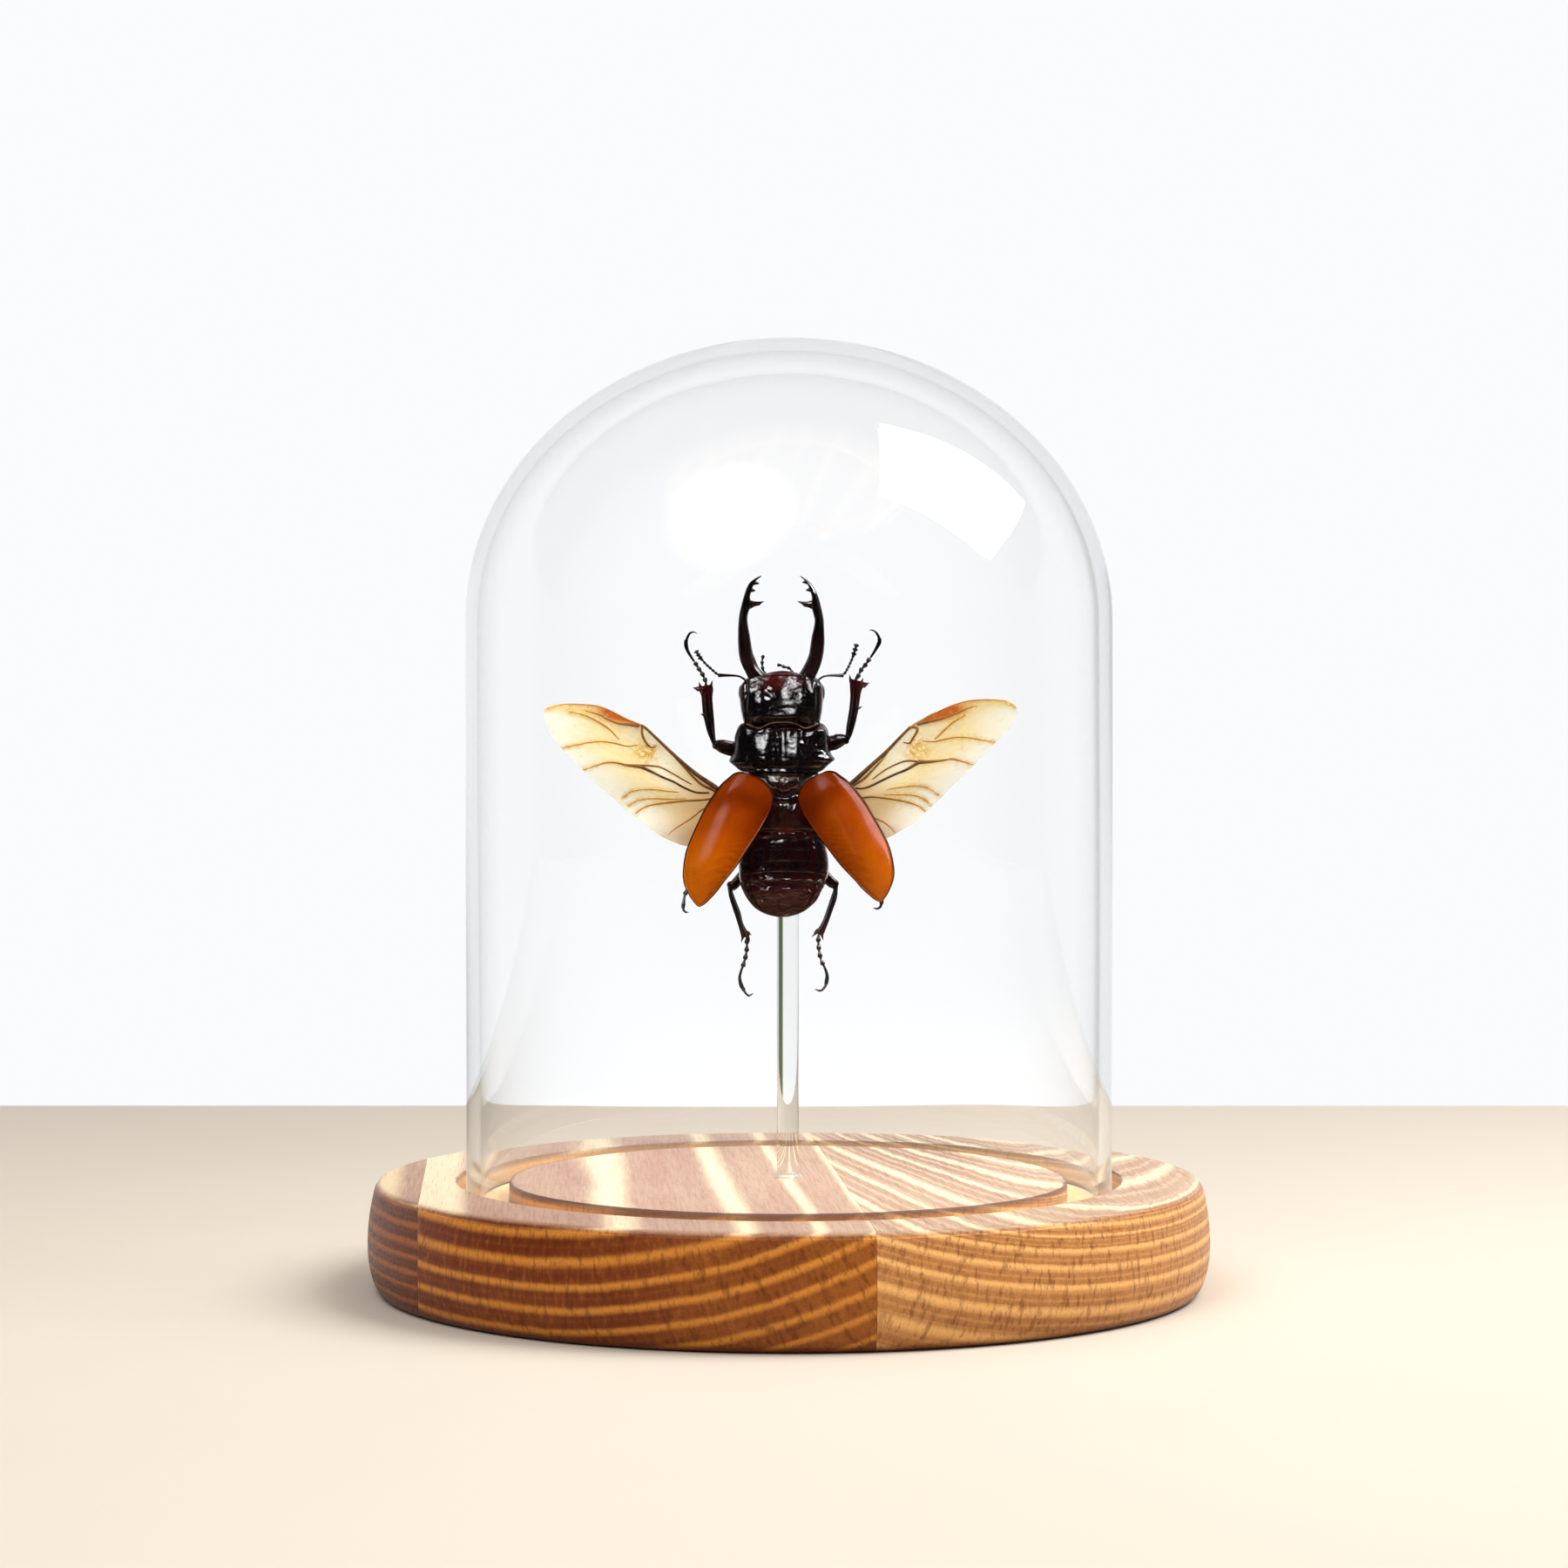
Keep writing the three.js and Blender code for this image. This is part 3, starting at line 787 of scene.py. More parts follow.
@dataclass(frozen=True)
class GlassFinish:
    """Clear glass that lets lamps through, with a faint tint by thickness."""

    name: str
    ior: float = 1.47
    tint: Colour = srgb(214, 236, 228)
    density: float = 5.0
    lets_through: float = 0.9

    def material(self) -> Material:
        """Builds the material: a transmissive shader, seen by shadow rays as a clear pane."""
        material, w, shader = new_material(self.name)
        w.into(shader, Base_Color=(1, 1, 1, 1), Roughness=0.0, IOR=self.ior, Transmission_Weight=1.0)
        pane = w.node("BsdfTransparent", None, Color=(*[self.lets_through] * 3, 1))
        mix = w.node("MixShader")
        is_shadow = w.node("LightPath").outputs["Is Shadow Ray"]
        for socket, value in zip(mix.inputs, (is_shadow, shader.outputs[0], pane.outputs[0])):
            w.feed(socket, value)
        thick = w.node("VolumeAbsorption", None, Color=self.tint, Density=self.density)
        w.into(material.node_tree.nodes["Material Output"], Surface=mix.outputs[0], Volume=thick.outputs[0])
        return material


@dataclass(frozen=True)
class CuticleFinish:
    """Black shell: very glossy, with maroon where the mesh value red is high and brown where brown is."""

    name: str
    black: Colour = srgb(6, 3, 4)
    maroon: Colour = srgb(60, 7, 9)
    brown: Colour = srgb(62, 32, 20)
    always_red: float = 0.0
    pits: float = 2600.0
    pit_depth: float = 0.25
    wrinkles: float = 500.0
    wrinkle_depth: float = 0.5
    relief: float = 0.00006
    roughness: float = 0.11
    coat: float = 0.3
    ior: float = 1.9

    def material(self, relief: Tree) -> Material:
        """Builds the material.

        Args:
            relief: the cuticle relief group.
        Returns:
            The material.
        """
        material, w, shader = new_material(self.name)
        skin = w.group(relief, Place=w.place(), Pits_Per_Metre=self.pits, Pit_Depth=self.pit_depth,
                       Wrinkles_Per_Metre=self.wrinkles, Wrinkle_Depth=self.wrinkle_depth)
        mottle, brown = skin["Mottle"], w.value("brown")
        red = w.plus(w.value("red"), w.times(w.step(mottle, 0.42, 0.7), self.always_red), True)
        colour = w.mix(red, self.black, self.maroon)
        colour = w.mix(w.times(brown, w.step(mottle, 0.25, 0.6, 0.55, 1.0)), colour, self.brown)
        rough = w.step(mottle, 0.3, 0.75, self.roughness * 0.7, self.roughness * 1.5)
        w.into(shader, Base_Color=colour, Roughness=w.plus(rough, w.times(brown, 0.06)),
               Normal=w.relief(skin["Height"], 0.8, self.relief), IOR=self.ior, Coat_Weight=self.coat,
               Coat_IOR=self.ior, Coat_Roughness=0.05)
        return material


@dataclass(frozen=True)
class ElytronFinish:
    """Wing case: varnish-like orange brown, redder towards its base and seam, with a black rim."""

    orange: Colour = srgb(148, 58, 0)
    amber: Colour = srgb(176, 84, 0)
    red: Colour = srgb(92, 24, 0)
    black: Colour = srgb(20, 9, 6)

    def material(self, relief: Tree) -> Material:
        """Builds the material from the mesh values along, seam, rim and under.

        Args:
            relief: the cuticle relief group.
        Returns:
            The material.
        """
        material, w, shader = new_material("wing_case_shell")
        place = w.place()
        skin = w.group(relief, Place=place, Pits_Per_Metre=3600.0, Pit_Depth=0.35,
                       Wrinkles_Per_Metre=300.0, Wrinkle_Depth=0.4)
        lower = w.plus(w.value("along"), w.swing(skin["Mottle"], 0.3))
        lower = w.plus(lower, w.swing(w.noise(place, 110.0, 2.0), 0.9))
        colour = w.mix(w.step(lower, 0.3, 0.95), self.orange, self.amber)
        for share, tint in ((w.step(lower, 0.0, 0.6, 0.8, 0.0), self.red),
                            (w.step(w.value("seam"), 0.5, 1.0, 0.0, 0.5), self.red),
                            (w.step(w.value("under"), 0.3, 0.8, 0.0, 0.7), self.red),
                            (w.step(w.value("rim"), 0.35, 0.8), self.black)):
            colour = w.mix(share, colour, tint)
        w.into(shader, Base_Color=colour, Roughness=w.step(skin["Mottle"], 0.3, 0.75, 0.08, 0.15),
               Normal=w.relief(skin["Height"], 0.6, 0.00008), Specular_IOR_Level=0.14, Coat_Weight=0.11,
               Coat_Roughness=0.06)
        return material


@dataclass(frozen=True)
class WingFinish:
    """Hind wing skin: a thin cream and amber film, ochre near its root and orange by the front bar."""

    cream: Colour = srgb(255, 250, 222)
    honey: Colour = srgb(248, 221, 142)
    ochre: Colour = srgb(214, 172, 112)
    orange: Colour = srgb(198, 92, 4)
    gold: Colour = srgb(224, 170, 40)
    fleck: Colour = srgb(190, 134, 62)

    def material(self) -> Material:
        """Builds the material from the mesh values root, pale, gold, stigma, fan and reach."""
        material, w, shader = new_material("wing_film")
        place = w.place()
        root, pale, gold, stigma = (w.value(name) for name in ("root", "pale", "gold", "stigma"))
        cloud = w.noise(place, 220.0, 4.0, 0.6, 0.4)
        fine = w.noise(place, 1500.0, 2.0)
        streak = w.noise(w.scaled(place, (900, 900, 900)), 1.0, 3.0, 0.7, 2.0)
        crease = w.noise(w.vector(w.times(w.value("fan"), 46.0), w.times(w.value("reach"), 5.0)), 1.0, 4.0, 0.62)
        colour = w.mix(w.step(crease, 0.3, 0.75), self.honey, w.mix(0.5, self.cream, self.honey))
        for share, tint in ((w.times(pale, w.step(cloud, 0.2, 0.5, 0.7, 1.0)), self.cream),
                            (w.times(w.step(crease, 0.56, 0.7), 0.3), self.ochre),
                            (w.times(root, w.step(cloud, 0.2, 0.6, 0.6, 1.0)), self.ochre),
                            (w.times(gold, w.step(streak, 0.32, 0.6)), self.gold),
                            (w.times(stigma, w.step(streak, 0.2, 0.5, 0.6, 1.0)), self.orange),
                            (w.step(fine, 0.58, 0.78, 0.0, 0.22), self.fleck)):
            colour = w.mix(share, colour, tint)
        solid = w.plus(w.step(root, 0.0, 1.0, 0.72, 0.88), w.times(stigma, 0.3))
        solid = w.plus(solid, w.times(gold, 0.3))
        w.into(shader, Base_Color=colour, Alpha=w.minus(solid, w.times(pale, 0.26), True),
               Roughness=w.step(cloud, 0.3, 0.7, 0.32, 0.5),
               Normal=w.relief(w.plus(crease, w.times(fine, 0.2)), 0.5, 0.00008))
        return material


@dataclass(frozen=True)
class VeinFinish:
    """Wing veins: nearly black where the mesh value tone is low, golden and clearer where it is high."""

    dark: Colour = srgb(42, 14, 6)
    light: Colour = srgb(214, 140, 0)

    def material(self) -> Material:
        """Builds the material."""
        material, w, shader = new_material("wing_vein")
        grain = w.noise(w.place(), 1400.0, 3.0, 0.6)
        tone = w.plus(w.math("POWER", w.value("tone"), 0.75), w.swing(grain, 0.5), True)
        w.into(shader, Base_Color=w.mix(tone, self.dark, self.light),
               Alpha=w.step(w.value("tone"), 0.4, 1.0, 1.0, 0.6), Roughness=w.step(grain, 0.3, 0.7, 0.3, 0.5),
               Normal=w.relief(grain, 0.4, 0.00003))
        return material


@dataclass(frozen=True)
class HairFinish:
    """Short golden or grey bristles."""

    name: str = "golden_bristles"
    light: Colour = srgb(128, 84, 34)
    dark: Colour = srgb(58, 32, 14)

    def material(self) -> Material:
        """Builds the material."""
        material, w, shader = new_material(self.name)
        shade = w.step(w.noise(w.place(), 2200.0, 2.0), 0.35, 0.65)
        w.into(shader, Base_Color=w.mix(shade, self.dark, self.light), Roughness=0.45)
        return material


@dataclass(frozen=True)
class GlueFinish:
    """Clear set glue with tiny bubbles and one dark speck by the rod."""

    speck: Point = (-2.05, -1.1, 17.75)

    def material(self) -> Material:
        """Builds the material."""
        material, w, shader = new_material("clear_glue")
        place = w.place()
        cloud = w.noise(place, 900.0, 3.0)
        away = w.vectors("DISTANCE", place, tuple(value * MM for value in self.speck)).outputs["Value"]
        tint = w.mix(w.step(cloud, 0.45, 0.7), srgb(255, 252, 244), srgb(240, 226, 196))
        w.into(shader, Base_Color=w.mix(w.step(away, 0.0002, 0.0004, 1.0, 0.0), tint, srgb(20, 12, 8)),
               Roughness=w.step(cloud, 0.3, 0.8, 0.05, 0.25), IOR=1.46, Transmission_Weight=0.75,
               Normal=w.relief(cloud, 0.4, 0.0001))
        return material


# ---- base, dome and rod


@dataclass
class WoodenBase:
    """A disc glued up from three parallel pine staves and turned, with a ring groove for the dome."""

    height: float = 17.0
    top_radius: float = 63.6
    widest_radius: float = 65.0
    widest_height: float = 7.5
    bottom_radius: float = 62.2
    groove_outer: float = 51.35
    groove_inner: float = 43.2
    groove_depth: float = 3.5
    seams: Flat = (-56.5, 7.9)
    columns: int = 256

    def side_radius(self, height: Array) -> Array:
        """The bulging side: a parabola above its widest height, a quarter ellipse below it."""
        above = np.clip((height - self.widest_height) / (self.height - self.widest_height), 0, 1)
        below = np.clip(1 - height / self.widest_height, 0, 1)
        upper = self.widest_radius - (self.widest_radius - self.top_radius) * above**2
        lower = self.bottom_radius + (self.widest_radius - self.bottom_radius) * np.sqrt(1 - below**2)
        return np.where(height > self.widest_height, upper, lower)

    def profile(self) -> Array:
        """The turned outline from the axis below, round the side and the groove, to the axis above."""
        side = np.linspace(0.0, self.height - 1.0, 34)
        rise = np.stack([self.side_radius(side), side], axis=1)
        corner = np.linspace(0.1, 1, 7)[:, None] * math.pi / 2
        top = self.height
        edge = np.hstack([self.top_radius + 0.08 - 1.0 * (1 - np.cos(corner)), top - 1.0 * (1 - np.sin(corner))])
        floor, lip = top - self.groove_depth, 0.22
        out, inn = self.groove_outer, self.groove_inner
        flat = [[r, top] for r in (61, 57.5, 54)]
        groove = [[out + lip, top], [out + 0.05, top - lip], [out, top - 1.2], [out, floor + 0.4], [out - 0.4, floor],
                  [48.5, floor], [46, floor], [inn + 0.4, floor], [inn, floor + 0.4], [inn, top - 1.2],
                  [inn - 0.05, top - lip], [inn - lip, top]]
        plateau = [[r, top] for r in (40, 34, 28, 22, 16, 10, 5, 2)]
        return np.vstack([[[0, 0], [20, 0], [45, 0], [60.5, 0]], rise, edge, flat, groove, plateau, [[0, top]]])

    def stave(self, name: str, low: float, high: float, material: Material) -> bpy.types.Object:
        """One stave: the turned disc cut along two upright planes.

        Args:
            name: the CAD node it stands for.
            low, high: where it starts and ends across the staves.
            material: its wood.
        Returns:
            The piece.
        """
        skin = Skin.turned(self.profile(), self.columns)
        mesh = bpy.data.meshes.new(name)
        mesh.from_pydata((skin.points * MM).tolist(), [], [f for faces in skin.faces for f in faces.tolist()])
        work = bmesh.new()
        work.from_mesh(mesh)
        turn = math.radians(GRAIN_TURN)
        across = Vector((math.cos(turn), math.sin(turn), 0))
        for limit, way in ((low, -across), (high, across)):
            if abs(limit) > self.widest_radius:
                continue
            cut = bmesh.ops.bisect_plane(work, geom=[*work.verts, *work.edges, *work.faces], dist=1e-7,
                                         plane_co=across * limit * MM, plane_no=way, clear_outer=True)
            edges = [edge for edge in cut["geom_cut"] if isinstance(edge, bmesh.types.BMEdge)]
            bmesh.ops.edgeloop_fill(work, edges=edges)
        bmesh.ops.triangulate(work, faces=[face for face in work.faces if len(face.verts) > 4])
        bmesh.ops.recalc_face_normals(work, faces=work.faces)
        work.to_mesh(mesh)
        work.free()
        finish_mesh(mesh, material, 38.0)
        piece = tie(bpy.data.objects.new(name + "_wood", mesh), (name,))
        piece.visible_glossy = False
        return piece

    def build(self) -> None:
        """Builds the three staves, each with its own grain."""
        rings, edges = growth_rings_group(), turned_edges_group()
        left = PineFinish("pine_left", -62.0, 168.0, 151.0, 2.3, 0.001, 0.0, 0.3, 0.35, 41.0,
                          dark=srgb(92, 38, 10), pale=srgb(160, 86, 30), lit_top_dark=srgb(148, 104, 78),
                          lit_top_pale=srgb(230, 200, 154), sapwood=-60.5)
        middle = PineFinish("pine_middle", -45.0, 130.0, 120.95, 3.25, 0.001, -0.004, 0.25, 0.22, 7.0,
                            inner_rate=0.88, fine=0.12, ray=0.5)
        right = PineFinish("pine_right", 45.0, 130.0, 116.0, 1.5, 0.17, 0.0435, 0.3, 0.15, 19.0,
                           dark=srgb(146, 76, 32), pale=srgb(238, 180, 108), lit_top_dark=srgb(154, 106, 80),
                           fine=0.85, ray=0.5)
        gap = 0.025
        self.stave("base_stave_left", -99, self.seams[0] - gap, left.material(rings, edges))
        self.stave("base_stave_middle", self.seams[0] + gap, self.seams[1] - gap, middle.material(rings, edges))
        self.stave("base_stave_right", self.seams[1] + gap, 99, right.material(rings, edges))


@dataclass
class GlassDome:
    """A blown glass dome: a straight wall, half an ellipse on top, and a rounded foot."""

    radius: float = 50.0
    wall: float = 2.0
    foot_height: float = 13.8
    spring_height: float = 103.2
    rise: float = 43.5
    columns: int = 224

    def crown(self, radius: float, rise: float) -> Array:
        """A quarter ellipse from the wall up to the axis."""
        angle = np.linspace(0, math.pi / 2, 40)[:, None]
        return np.hstack([radius * np.cos(angle), self.spring_height + rise * np.sin(angle)])

    def build(self) -> None:
        """Builds the shell. The blown wall waves a little: its radius follows slow ripples."""
        inner = self.radius - self.wall
        mouth = self.radius - self.wall / 2
        angle = np.linspace(math.pi, 2 * math.pi, 11)[:, None]
        foot = np.hstack([mouth + self.wall / 2 * np.cos(angle), self.foot_height + 1 + np.sin(angle)])
        up = np.linspace(self.foot_height + 2, self.spring_height - 1.5, 40)[:, None]
        profile = np.vstack([self.crown(inner, self.rise - self.wall)[::-1],
                             np.hstack([np.full_like(up, inner), up])[::-1], foot,
                             np.hstack([np.full_like(up, self.radius), up]), self.crown(self.radius, self.rise)])
        skin = Skin.turned(profile, self.columns)
        away = np.linalg.norm(skin.points[:, :2], axis=1)
        is_inner = away < self.radius - self.wall * 0.5
        turn = np.arctan2(skin.points[:, 1], skin.points[:, 0])
        z = skin.points[:, 2]
        wave = 0.05 * np.sin(3 * turn + z / 31) + 0.03 * np.sin(5 * turn - z / 17 + 1) + 0.012 * np.sin(11 * turn + 2)
        wave = np.where(is_inner, 0.7 * wave + 0.02 * np.sin(7 * turn + z / 23), wave) - 0.09
        skin.points[:, :2] *= (1 + wave / np.maximum(away, 8))[:, None]
        skin.piece("dome_glass", GlassFinish("dome_glass").material(), ("glass_dome",), "dome_glass", PART_ORIGIN, 60)


@dataclass
class SupportRod:
    """A clear rod with melted ends, glued to the base and to the beetle's belly."""

    place: Flat = (-0.15, 0.3)
    radius: float = 1.7
    foot: float = 17.25
    top: float = 76.0
    melted: float = 0.35
    glue_gap: float = 0.06
    glue_foot: float = 17.02
    glue_height: float = 0.75
    glue_reach: float = 0.42

    def rod(self) -> Skin:
        """The rod: a quarter circle at each end, and between them a side that waves by a hair."""
        angle = np.linspace(0, math.pi / 2, 7)[:, None]
        end = self.melted
        bottom = np.hstack([self.radius - end + end * np.sin(angle), self.foot + end - end * np.cos(angle)])
        up = np.linspace(self.foot + 1, self.top - 1, 60)[:, None]
        top = np.hstack([self.radius - end + end * np.cos(angle), self.top - end + end * np.sin(angle)])
        shaft = np.hstack([self.radius - 0.012 + 0.012 * np.sin(up / 4.1) * np.cos(up / 9.7), up])
        profile = np.vstack([[[0, self.foot]], bottom, shaft, top, [[0, self.top]]])
        return Skin.turned(profile, 64, self.place)

    def bead(self) -> Skin:
        """The ring of glue round the rod's foot: a hollow cone with three lobes, closed along its inside."""
        share = np.linspace(0, 1, 14)[:, None]
        inside = self.radius + self.glue_gap
        outer = np.hstack([inside + self.glue_reach * (1 - share) ** 1.8,
                           self.glue_foot + self.glue_height * share])
        ring = np.vstack([outer, [[inside, self.glue_foot + self.glue_height], [inside, self.glue_foot]]])
        turn = circle(48)[:, None]
        wide = ring[None, :, 0] + 0.16 * np.sin(3 * turn + 0.6) * (ring[None, :, 0] > self.radius + 0.1)
        rings = np.stack([self.place[0] + wide * np.cos(turn), self.place[1] + wide * np.sin(turn),
                          ring[None, :, 1] + 0 * wide], axis=-1)
        here = np.arange(wide.size).reshape(wide.shape)
        right, above = np.roll(here, -1, axis=0), np.roll(here, -1, axis=1)
        faces = np.stack([here, right, np.roll(right, -1, axis=1), above], axis=-1).reshape(-1, 4)
        return Skin(rings.reshape(-1, 3), [faces])

    def build(self) -> None:
        """Builds the rod, the bead of glue round its foot and the dab at its top."""
        glass = GlassFinish("rod_glass", 1.49, srgb(170, 200, 160), 10.0).material()
        self.rod().piece("rod_glass", glass, ("support_rod",), "rod_glass", PART_ORIGIN, 60)
        glue = GlueFinish().material()
        self.bead().piece("foot_glue_bead", glue, ("foot_glue",), "clear_glue", PART_ORIGIN)
        dab = Skin.egg((self.place[0], -2.45, 72.6), (2.4, 0.9, 3.4), 24, 32, 2.2).roughened(0.12, 3.0, 5)
        dab.piece("body_glue_dab", glue, ("body_glue",), "clear_glue", PART_ORIGIN)


# ---- beetle: body


@dataclass(frozen=True)
class BodyOutline:
    """One body segment seen from the back: its edges by height, and how far it reaches to front and rear."""

    left: list[Flat]
    right: list[Flat]
    back: list[Flat]
    belly: list[Flat]
    power: float = 2.4

    def rings(self, rows: int, columns: int) -> Array:
        """Rings from the lowest to the highest height.

        Across a ring x follows a superellipse cosine between the two edges, and y its sine times the
        back's reach on one side and the belly's on the other.

        Args:
            rows, columns: the fineness.
        Returns:
            Points (rows, columns, 3).
        """
        low, high = self.left[0][1], self.left[-1][1]
        even = 0.5 - 0.5 * np.cos(np.linspace(0.04, math.pi - 0.04, rows))
        z = (low + (high - low) * (0.6 * even + 0.4 * np.linspace(0, 1, rows)))[:, None]
        low_x, high_x = (np.interp(z, *self.dense(edge).T[::-1]) for edge in (self.left, self.right))
        back, belly = (np.interp(z, *np.array(reach).T) for reach in (self.back, self.belly))
        angle = circle(columns)[None]
        across, deep = rounded(np.cos(angle), self.power), rounded(np.sin(angle), self.power)
        x = (low_x + high_x) / 2 + (high_x - low_x) / 2 * across
        y = np.where(deep < 0, back * deep, belly * deep)
        return np.stack([x, y, z + 0 * x], axis=-1)

    @staticmethod
    def dense(edge: list[Flat]) -> Array:
        """The edge as a smooth curve, kept in order of height."""
        curve = smooth_path(edge, 80)
        return curve[np.argsort(curve[:, 1], kind="stable")]


@dataclass
class BeetleBody:
    """Pronotum, scutellum, mesothorax, metathorax and abdomen."""

    shell: Material
    dull: Material
    bristles: Material

    def pronotum(self) -> None:
        """The neck shield: a glossy convex plate with a middle furrow, side spines and a beaded hind rim."""
        outline = BodyOutline(
            left=trace(-5.2, 0.1, -6.3, 0.5, -6.9, 1.0, -7.6, 1.6, -8.0, 2.0, -7.6, 2.8, -7.25, 3.5, -7.15, 4.4,
                       -7.15, 5.2, -7.15, 5.7, -6.75, 6.9, -6.3, 7.6, -5.4, 8.0),
            right=trace(5.4, 0.1, 6.3, 0.6, 6.9, 1.2, 7.7, 1.9, 8.1, 2.3, 7.55, 3.1, 7.15, 4.0, 7.1, 5.1, 7.15, 6.0,
                        7.0, 6.8, 6.5, 7.5, 6.0, 7.8, 5.4, 8.0),
            back=trace(0.1, 3.5, 0.5, 4.0, 1.2, 4.22, 2.2, 4.25, 3.5, 3.9, 5.5, 3.2, 7.0, 2.6, 8.0, 1.9),
            belly=trace(0.1, 2.4, 1.5, 3.5, 4, 3.9, 7, 3.4, 8, 2.6),
            power=2.25,
        )
        rings = outline.rings(110, 150)
        x, y, z = sides(rings)
        on_back = ramp(-y, 0.3, 1.6)
        height = 0.42 * bump(x, -2.9, 1.5) * bump(z, 3.9, 2.4) + 0.42 * bump(x, 2.3, 1.3) * bump(z, 3.9, 2.6)
        height -= 0.3 * bump(x, 0, 0.55) * ramp(z, 0.9, 2.4)
        height -= 0.22 * bump(z, 0.95, 0.22) * bump(x, 0, 7.5)
        height += 0.16 * bump(z, 0.45, 0.2) * bump(x, 0, 8)
        height += 0.12 * bump(z - 0.05 * x * x, 6.9, 0.18) * bump(x, 0, 4)
        height += 0.09 * ripple(rings, 2.2, 3) * bump(x, 0, 5.5) + 0.022 * ripple(rings, 0.9, 4)
        height -= 0.08 * bump(np.abs(x), 5.8, 0.6) * bump(z, 3.6, 1.6)
        height += 0.17 * np.clip(z - 2.0, 0, 5) * ramp(x, 3.0, 5.2) * (1 - ramp(z, 6.6, 8.0))
        y -= height * on_back
        front = ramp(z, 5.6, 8.0)
        z += front * (0.1 * bump(x, 0.2, 1.6) - 0.75 * bump(np.abs(x), 3.8, 1.5)) * on_back
        spread = np.where((np.abs(x) > 6.4) & (np.abs(y) < 1.4), 1.0, 0.0)
        y *= 1 - 0.15 * spread
        red = 0.35 * bump(z, 7.0, 0.5) * bump(x, 0, 5)
        Skin.lofted(rings, red=red).piece("pronotum_shell", self.shell, ("pronotum",))
        random = np.random.default_rng(12)
        xs = random.uniform(-3.0, 3.4, 260)
        roots = np.stack([xs, -2.75 - 0.75 * bump(xs, 0.2, 2.6), 0.12 + random.uniform(-0.05, 0.1, 260)], axis=1)
        fringe = Skin.hairs(roots, combed(random, roots, 0.08, (-0.25, 0), (-0.5, -0.2)), 0.035)
        line = [(-3.1, -2.9, 0.12), (-1.5, -3.3, 0.06), (0.2, -3.5, 0.02), (1.9, -3.3, 0.06), (3.4, -2.9, 0.14)]
        band = Skin.tube(line, [0.03, 0.06, 0.07, 0.06, 0.03], 30, 8)
        Skin.joined([fringe, band]).piece("pronotum_hind_fringe", self.bristles)

    def middle(self) -> None:
        """The mid thorax with its shield-shaped scutellum, dull and softly haired."""
        outline = BodyOutline(
            left=trace(-4.6, -3.6, -5.3, -2.4, -5.4, -1.0, -4.4, 1.3),
            right=trace(5.2, -3.6, 5.9, -2.4, 6.0, -1.0, 5.0, 1.3),
            back=trace(-3.6, 2.9, -3, 3.1, -2, 3.2, -0.3, 2.6, 0.4, 2.1, 1.3, 1.8),
            belly=trace(-3.6, 3.2, -1.5, 3.7, -0.3, 3.0, 1.3, 2.0),
        )
        rings = outline.rings(40, 90)
        red = 0.4 * bump(rings[..., 0], 0.3, 3.5)
        block = Skin.lofted(rings, red=red, brown=0.25 * bump(rings[..., 0], 0.3, 3))
        block.piece("mesothorax_shell", self.dull, ("mesothorax",))
        left = trace(-2.35, -0.2, -2.3, -0.9, -1.9, -1.6, -1.2, -2.2, -0.45, -2.75, 0.25, -3.05)
        right = trace(3.0, -0.2, 2.9, -0.9, 2.45, -1.6, 1.75, -2.2, 0.95, -2.75, 0.35, -3.05)
        shield = Skin.blade(left, right, [0.5, 0.85, 0.9, 0.8, 0.55, 0.25], [-3.05, -3.25, -3.3, -3.3, -3.3],
                            44, 44, 2.3).roughened(0.05, 0.9, 8)
        x, y, z = sides(shield.points)
        y += 0.22 * bump(x, 0.3, 0.25) * ramp(z, -2.6, -0.6)
        shield.values["brown"] = 0.55 * ramp(z, -2.0, -0.6) * bump(x, 0.3, 1.9)
        shield.values["red"] = 0.25 * bump(x, 0.3, 2)
        shield.piece("scutellum", self.shell)
        random = np.random.default_rng(4)
        roots = np.stack([random.uniform(-1.9, 2.5, 420), np.full(420, -4.0),
                          random.uniform(-1.9, -0.3, 420)], axis=1)
        roots[:, 1] += 0.16 * ((roots[:, 0] - 0.3) / 1.4) ** 2
        tips = combed(random, roots, 0.07, (-0.16, -0.02), (-0.34, -0.1))
        grey = HairFinish("grey_bristles", srgb(150, 128, 112), srgb(70, 54, 46)).material()
        Skin.hairs(roots, tips, 0.02).piece("scutellum_down", grey)

    def hind(self) -> None:
        """The hind thorax: a furrowed middle shield between two humps, reddish at its rear."""
        outline = BodyOutline(
            left=trace(-5.2, -11.0, -5.6, -9.8, -6.2, -8, -6.3, -5.5, -5.4, -2.6),
            right=trace(5.8, -11.0, 6.2, -9.8, 6.8, -8, 6.9, -5.5, 6.0, -2.6),
            back=trace(-11, 2.75, -9.8, 2.95, -8.5, 3.25, -6, 3.6, -3.6, 3.2, -2.6, 2.4),
            belly=trace(-11, 2.4, -9.8, 3.3, -6, 4.1, -2.6, 3.0),
        )
        rings = outline.rings(90, 150)
        x, y, z = sides(rings)
        on_back = ramp(-y, 0.5, 1.8)
        near = x - 0.35
        height = 0.35 * bump(np.abs(near), 1.75, 0.5) * bump(z, -6, 2.8)
        height -= 0.3 * bump(near, 0, 0.28) * bump(z, -5.6, 2.2)
        height += 0.3 * np.cos(near * 9.0 + 0.4 * np.sin(2 * z)) * bump(near, 0, 1.5) * bump(z, -6.2, 1.8)
        height -= 0.25 * bump(z, -4.4, 0.25) * bump(near, 0, 1.3) + 0.25 * bump(z, -8.7, 0.3)
        height += 0.1 * ripple(rings, 1.5, 21)
        y -= height * on_back
        brown = 0.5 * bump(near, 0, 1.2) * bump(z, -6.3, 1.6) * on_back
